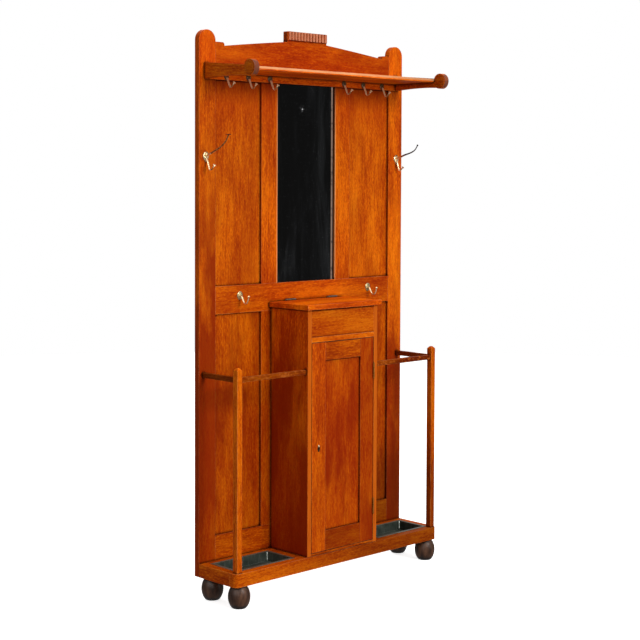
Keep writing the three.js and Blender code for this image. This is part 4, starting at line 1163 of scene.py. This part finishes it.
for place, ((x0, z0), (x1, z1)) in battens.items():
    strip = Solid().block((x0, batten_y[0], z0), (x1, batten_y[1], z1))
    pine = softwood(f"pine_{place}", "Z" if place in ("left", "right") else "X")
    soften(make(f"mirror_batten_{place}", strip, pine, "stand", smooth=False), 1.2 * MM)


# -------- drip trays: soldered corners
solder = aged_metal("solder", **SOLDER)
base_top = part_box("base_front_rail")[1].z
flange = 8 * MM
wall = 1.5 * MM
taper = 3 * MM
for side, _ in SIDES:
    low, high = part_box(f"drip_tray_{side}")
    inner_low = (low.x + flange + wall, low.y + flange + wall)
    inner_high = (high.x - flange - wall, high.y - flange - wall)
    for x_name, x, sx in (("near", inner_low[0], 1), ("far", inner_high[0], -1)):
        for y_name, y, sy in (("front", inner_low[1], 1), ("back", inner_high[1], -1)):
            top = Vector((x + 0.3 * MM * sx, y + 0.3 * MM * sy, base_top))
            bottom = Vector((x + taper * sx, y + taper * sy, low.z + wall + 0.2 * MM))
            rings = []
            for share, radius in ((0, 1.6), (0.25, 2.0), (0.5, 1.7), (0.8, 2.1), (1.0, 2.8)):
                centre = top.lerp(bottom, share)
                ring = []
                for i in range(10):
                    angle = 2 * math.pi * i / 10
                    ring.append(centre + Vector((math.cos(angle), math.sin(angle), 0)) * radius * MM)
                rings.append(ring)
            name = f"tray_solder_{side}_{x_name}_{y_name}"
            make(name, Solid().rings(rings), solder, f"tray_{side}")


# -------- stage, light and camera
def stage_floor():
    s = Shader("pale_floor")
    mottle = s.noise(s.place(), (3, 3, 3), detail=3)
    s.set(Base_Color=s.shade((1, 1, 1), s.line(mottle, 0.04, 0.86)), Roughness=0.7)
    s.set(Emission_Color=(1, 1, 1, 1), Emission_Strength=0.80)
    disc = [(0.01, -0.02), (7.0, -0.02), (7.0, -0.0005), (0.01, -0.0005)]
    floor = in_scene("studio_floor", Solid().lathe(disc, segments=96).mesh("floor", False))
    paint(floor, s.material)
    floor.visible_diffuse = False
    floor.visible_glossy = False


ROOM_FOR_LIGHT = [(0.0, 0.46), (0.45, 0.42), (0.60, 0.42), (1.0, 0.46)]
WHITE_ROOM = [(0.0, 1.0), (1.0, 1.0)]
ROOM_FOR_REFLECTIONS = [(0.0, 0.45), (0.42, 0.22), (0.58, 0.20), (0.70, 0.80), (1.0, 1.30)]


def soft_box(name, azimuth, elevation, distance, size, power, only_mirrored=False):
    """A large soft light. Azimuth 0 is in front of the stand and 90 is on its right."""
    a, e = math.radians(azimuth), math.radians(elevation)
    direction = Vector((math.sin(a) * math.cos(e), -math.cos(a) * math.cos(e), math.sin(e)))
    light = bpy.data.lights.new(name, "AREA")
    light.shape = "RECTANGLE"
    light.size, light.size_y = size
    light.energy = power
    lamp = in_scene(name, light)
    lamp.visible_diffuse = not only_mirrored
    lamp.location = Vector((0, 0, 1.0)) + direction * distance
    lamp.rotation_mode = "QUATERNION"
    lamp.rotation_quaternion = direction.to_track_quat("Z", "Y")


def sky(air, height, stops):
    """A background that changes with height, from (height, brightness) stops; 0.5 is the horizon."""
    greys = ((position, (level, level, level)) for position, level in stops)
    return air.node("Background", air.ramp(height, *greys)).outputs[0]


def studio_air():
    """White behind the stand, an even pale room for soft light, and a darker one for reflections."""
    world = bpy.data.worlds.new("studio_air")
    bpy.context.scene.world = world
    world.use_nodes = True
    air = Nodes(world.node_tree)
    direction = air.node("TexCoord").outputs["Generated"]
    height = air.node("MapRange", air.parts(direction)[2], -1.0).outputs[0]
    path = air.node("LightPath")
    seen = sky(air, height, ROOM_FOR_LIGHT)
    for switch, room in (("Is Glossy Ray", ROOM_FOR_REFLECTIONS), ("Is Camera Ray", WHITE_ROOM)):
        seen = air.node("MixShader", path.outputs[switch], seen, sky(air, height, room)).outputs[0]
    air.node("OutputWorld", seen)


CAMERA_PLACE = Vector((-3.65834, -3.75883, 1.44477))
CAMERA_YAW = math.radians(-43.95)
CAMERA_PITCH = math.radians(2.32)
CAMERA_ROLL = math.radians(0.22)
CAMERA_LENS = 82.5
CAMERA_SHIFT = (-0.0035, -0.1282)


def camera():
    """Eye level, in front of the stand and well to its left."""
    data = bpy.data.cameras.new("eye_level")
    data.sensor_width = 36
    data.lens = CAMERA_LENS
    data.shift_x, data.shift_y = CAMERA_SHIFT
    level = Matrix.Rotation(CAMERA_YAW, 4, "Z") @ Matrix.Rotation(QUARTER - CAMERA_PITCH, 4, "X")
    eye = in_scene("eye_level", data)
    eye.matrix_world = Matrix.Translation(CAMERA_PLACE) @ level @ Matrix.Rotation(CAMERA_ROLL, 4, "Z")
    bpy.context.scene.camera = eye


stage_floor()
studio_air()
soft_box("key", azimuth=3, elevation=24, distance=7.0, size=(2.2, 2.2), power=300)
soft_box("overhead", azimuth=15, elevation=75, distance=4.0, size=(2.4, 2.0), power=66)
soft_box("panel", azimuth=31, elevation=4, distance=7.0, size=(1.8, 3.6), power=48, only_mirrored=True)
soft_box("card", azimuth=-70, elevation=16, distance=6.0, size=(8.0, 3.4), power=220, only_mirrored=True)
soft_box("rear", azimuth=165, elevation=25, distance=6.0, size=(2.4, 2.4), power=120)
camera()
bpy.context.scene.view_settings.view_transform = "Standard"
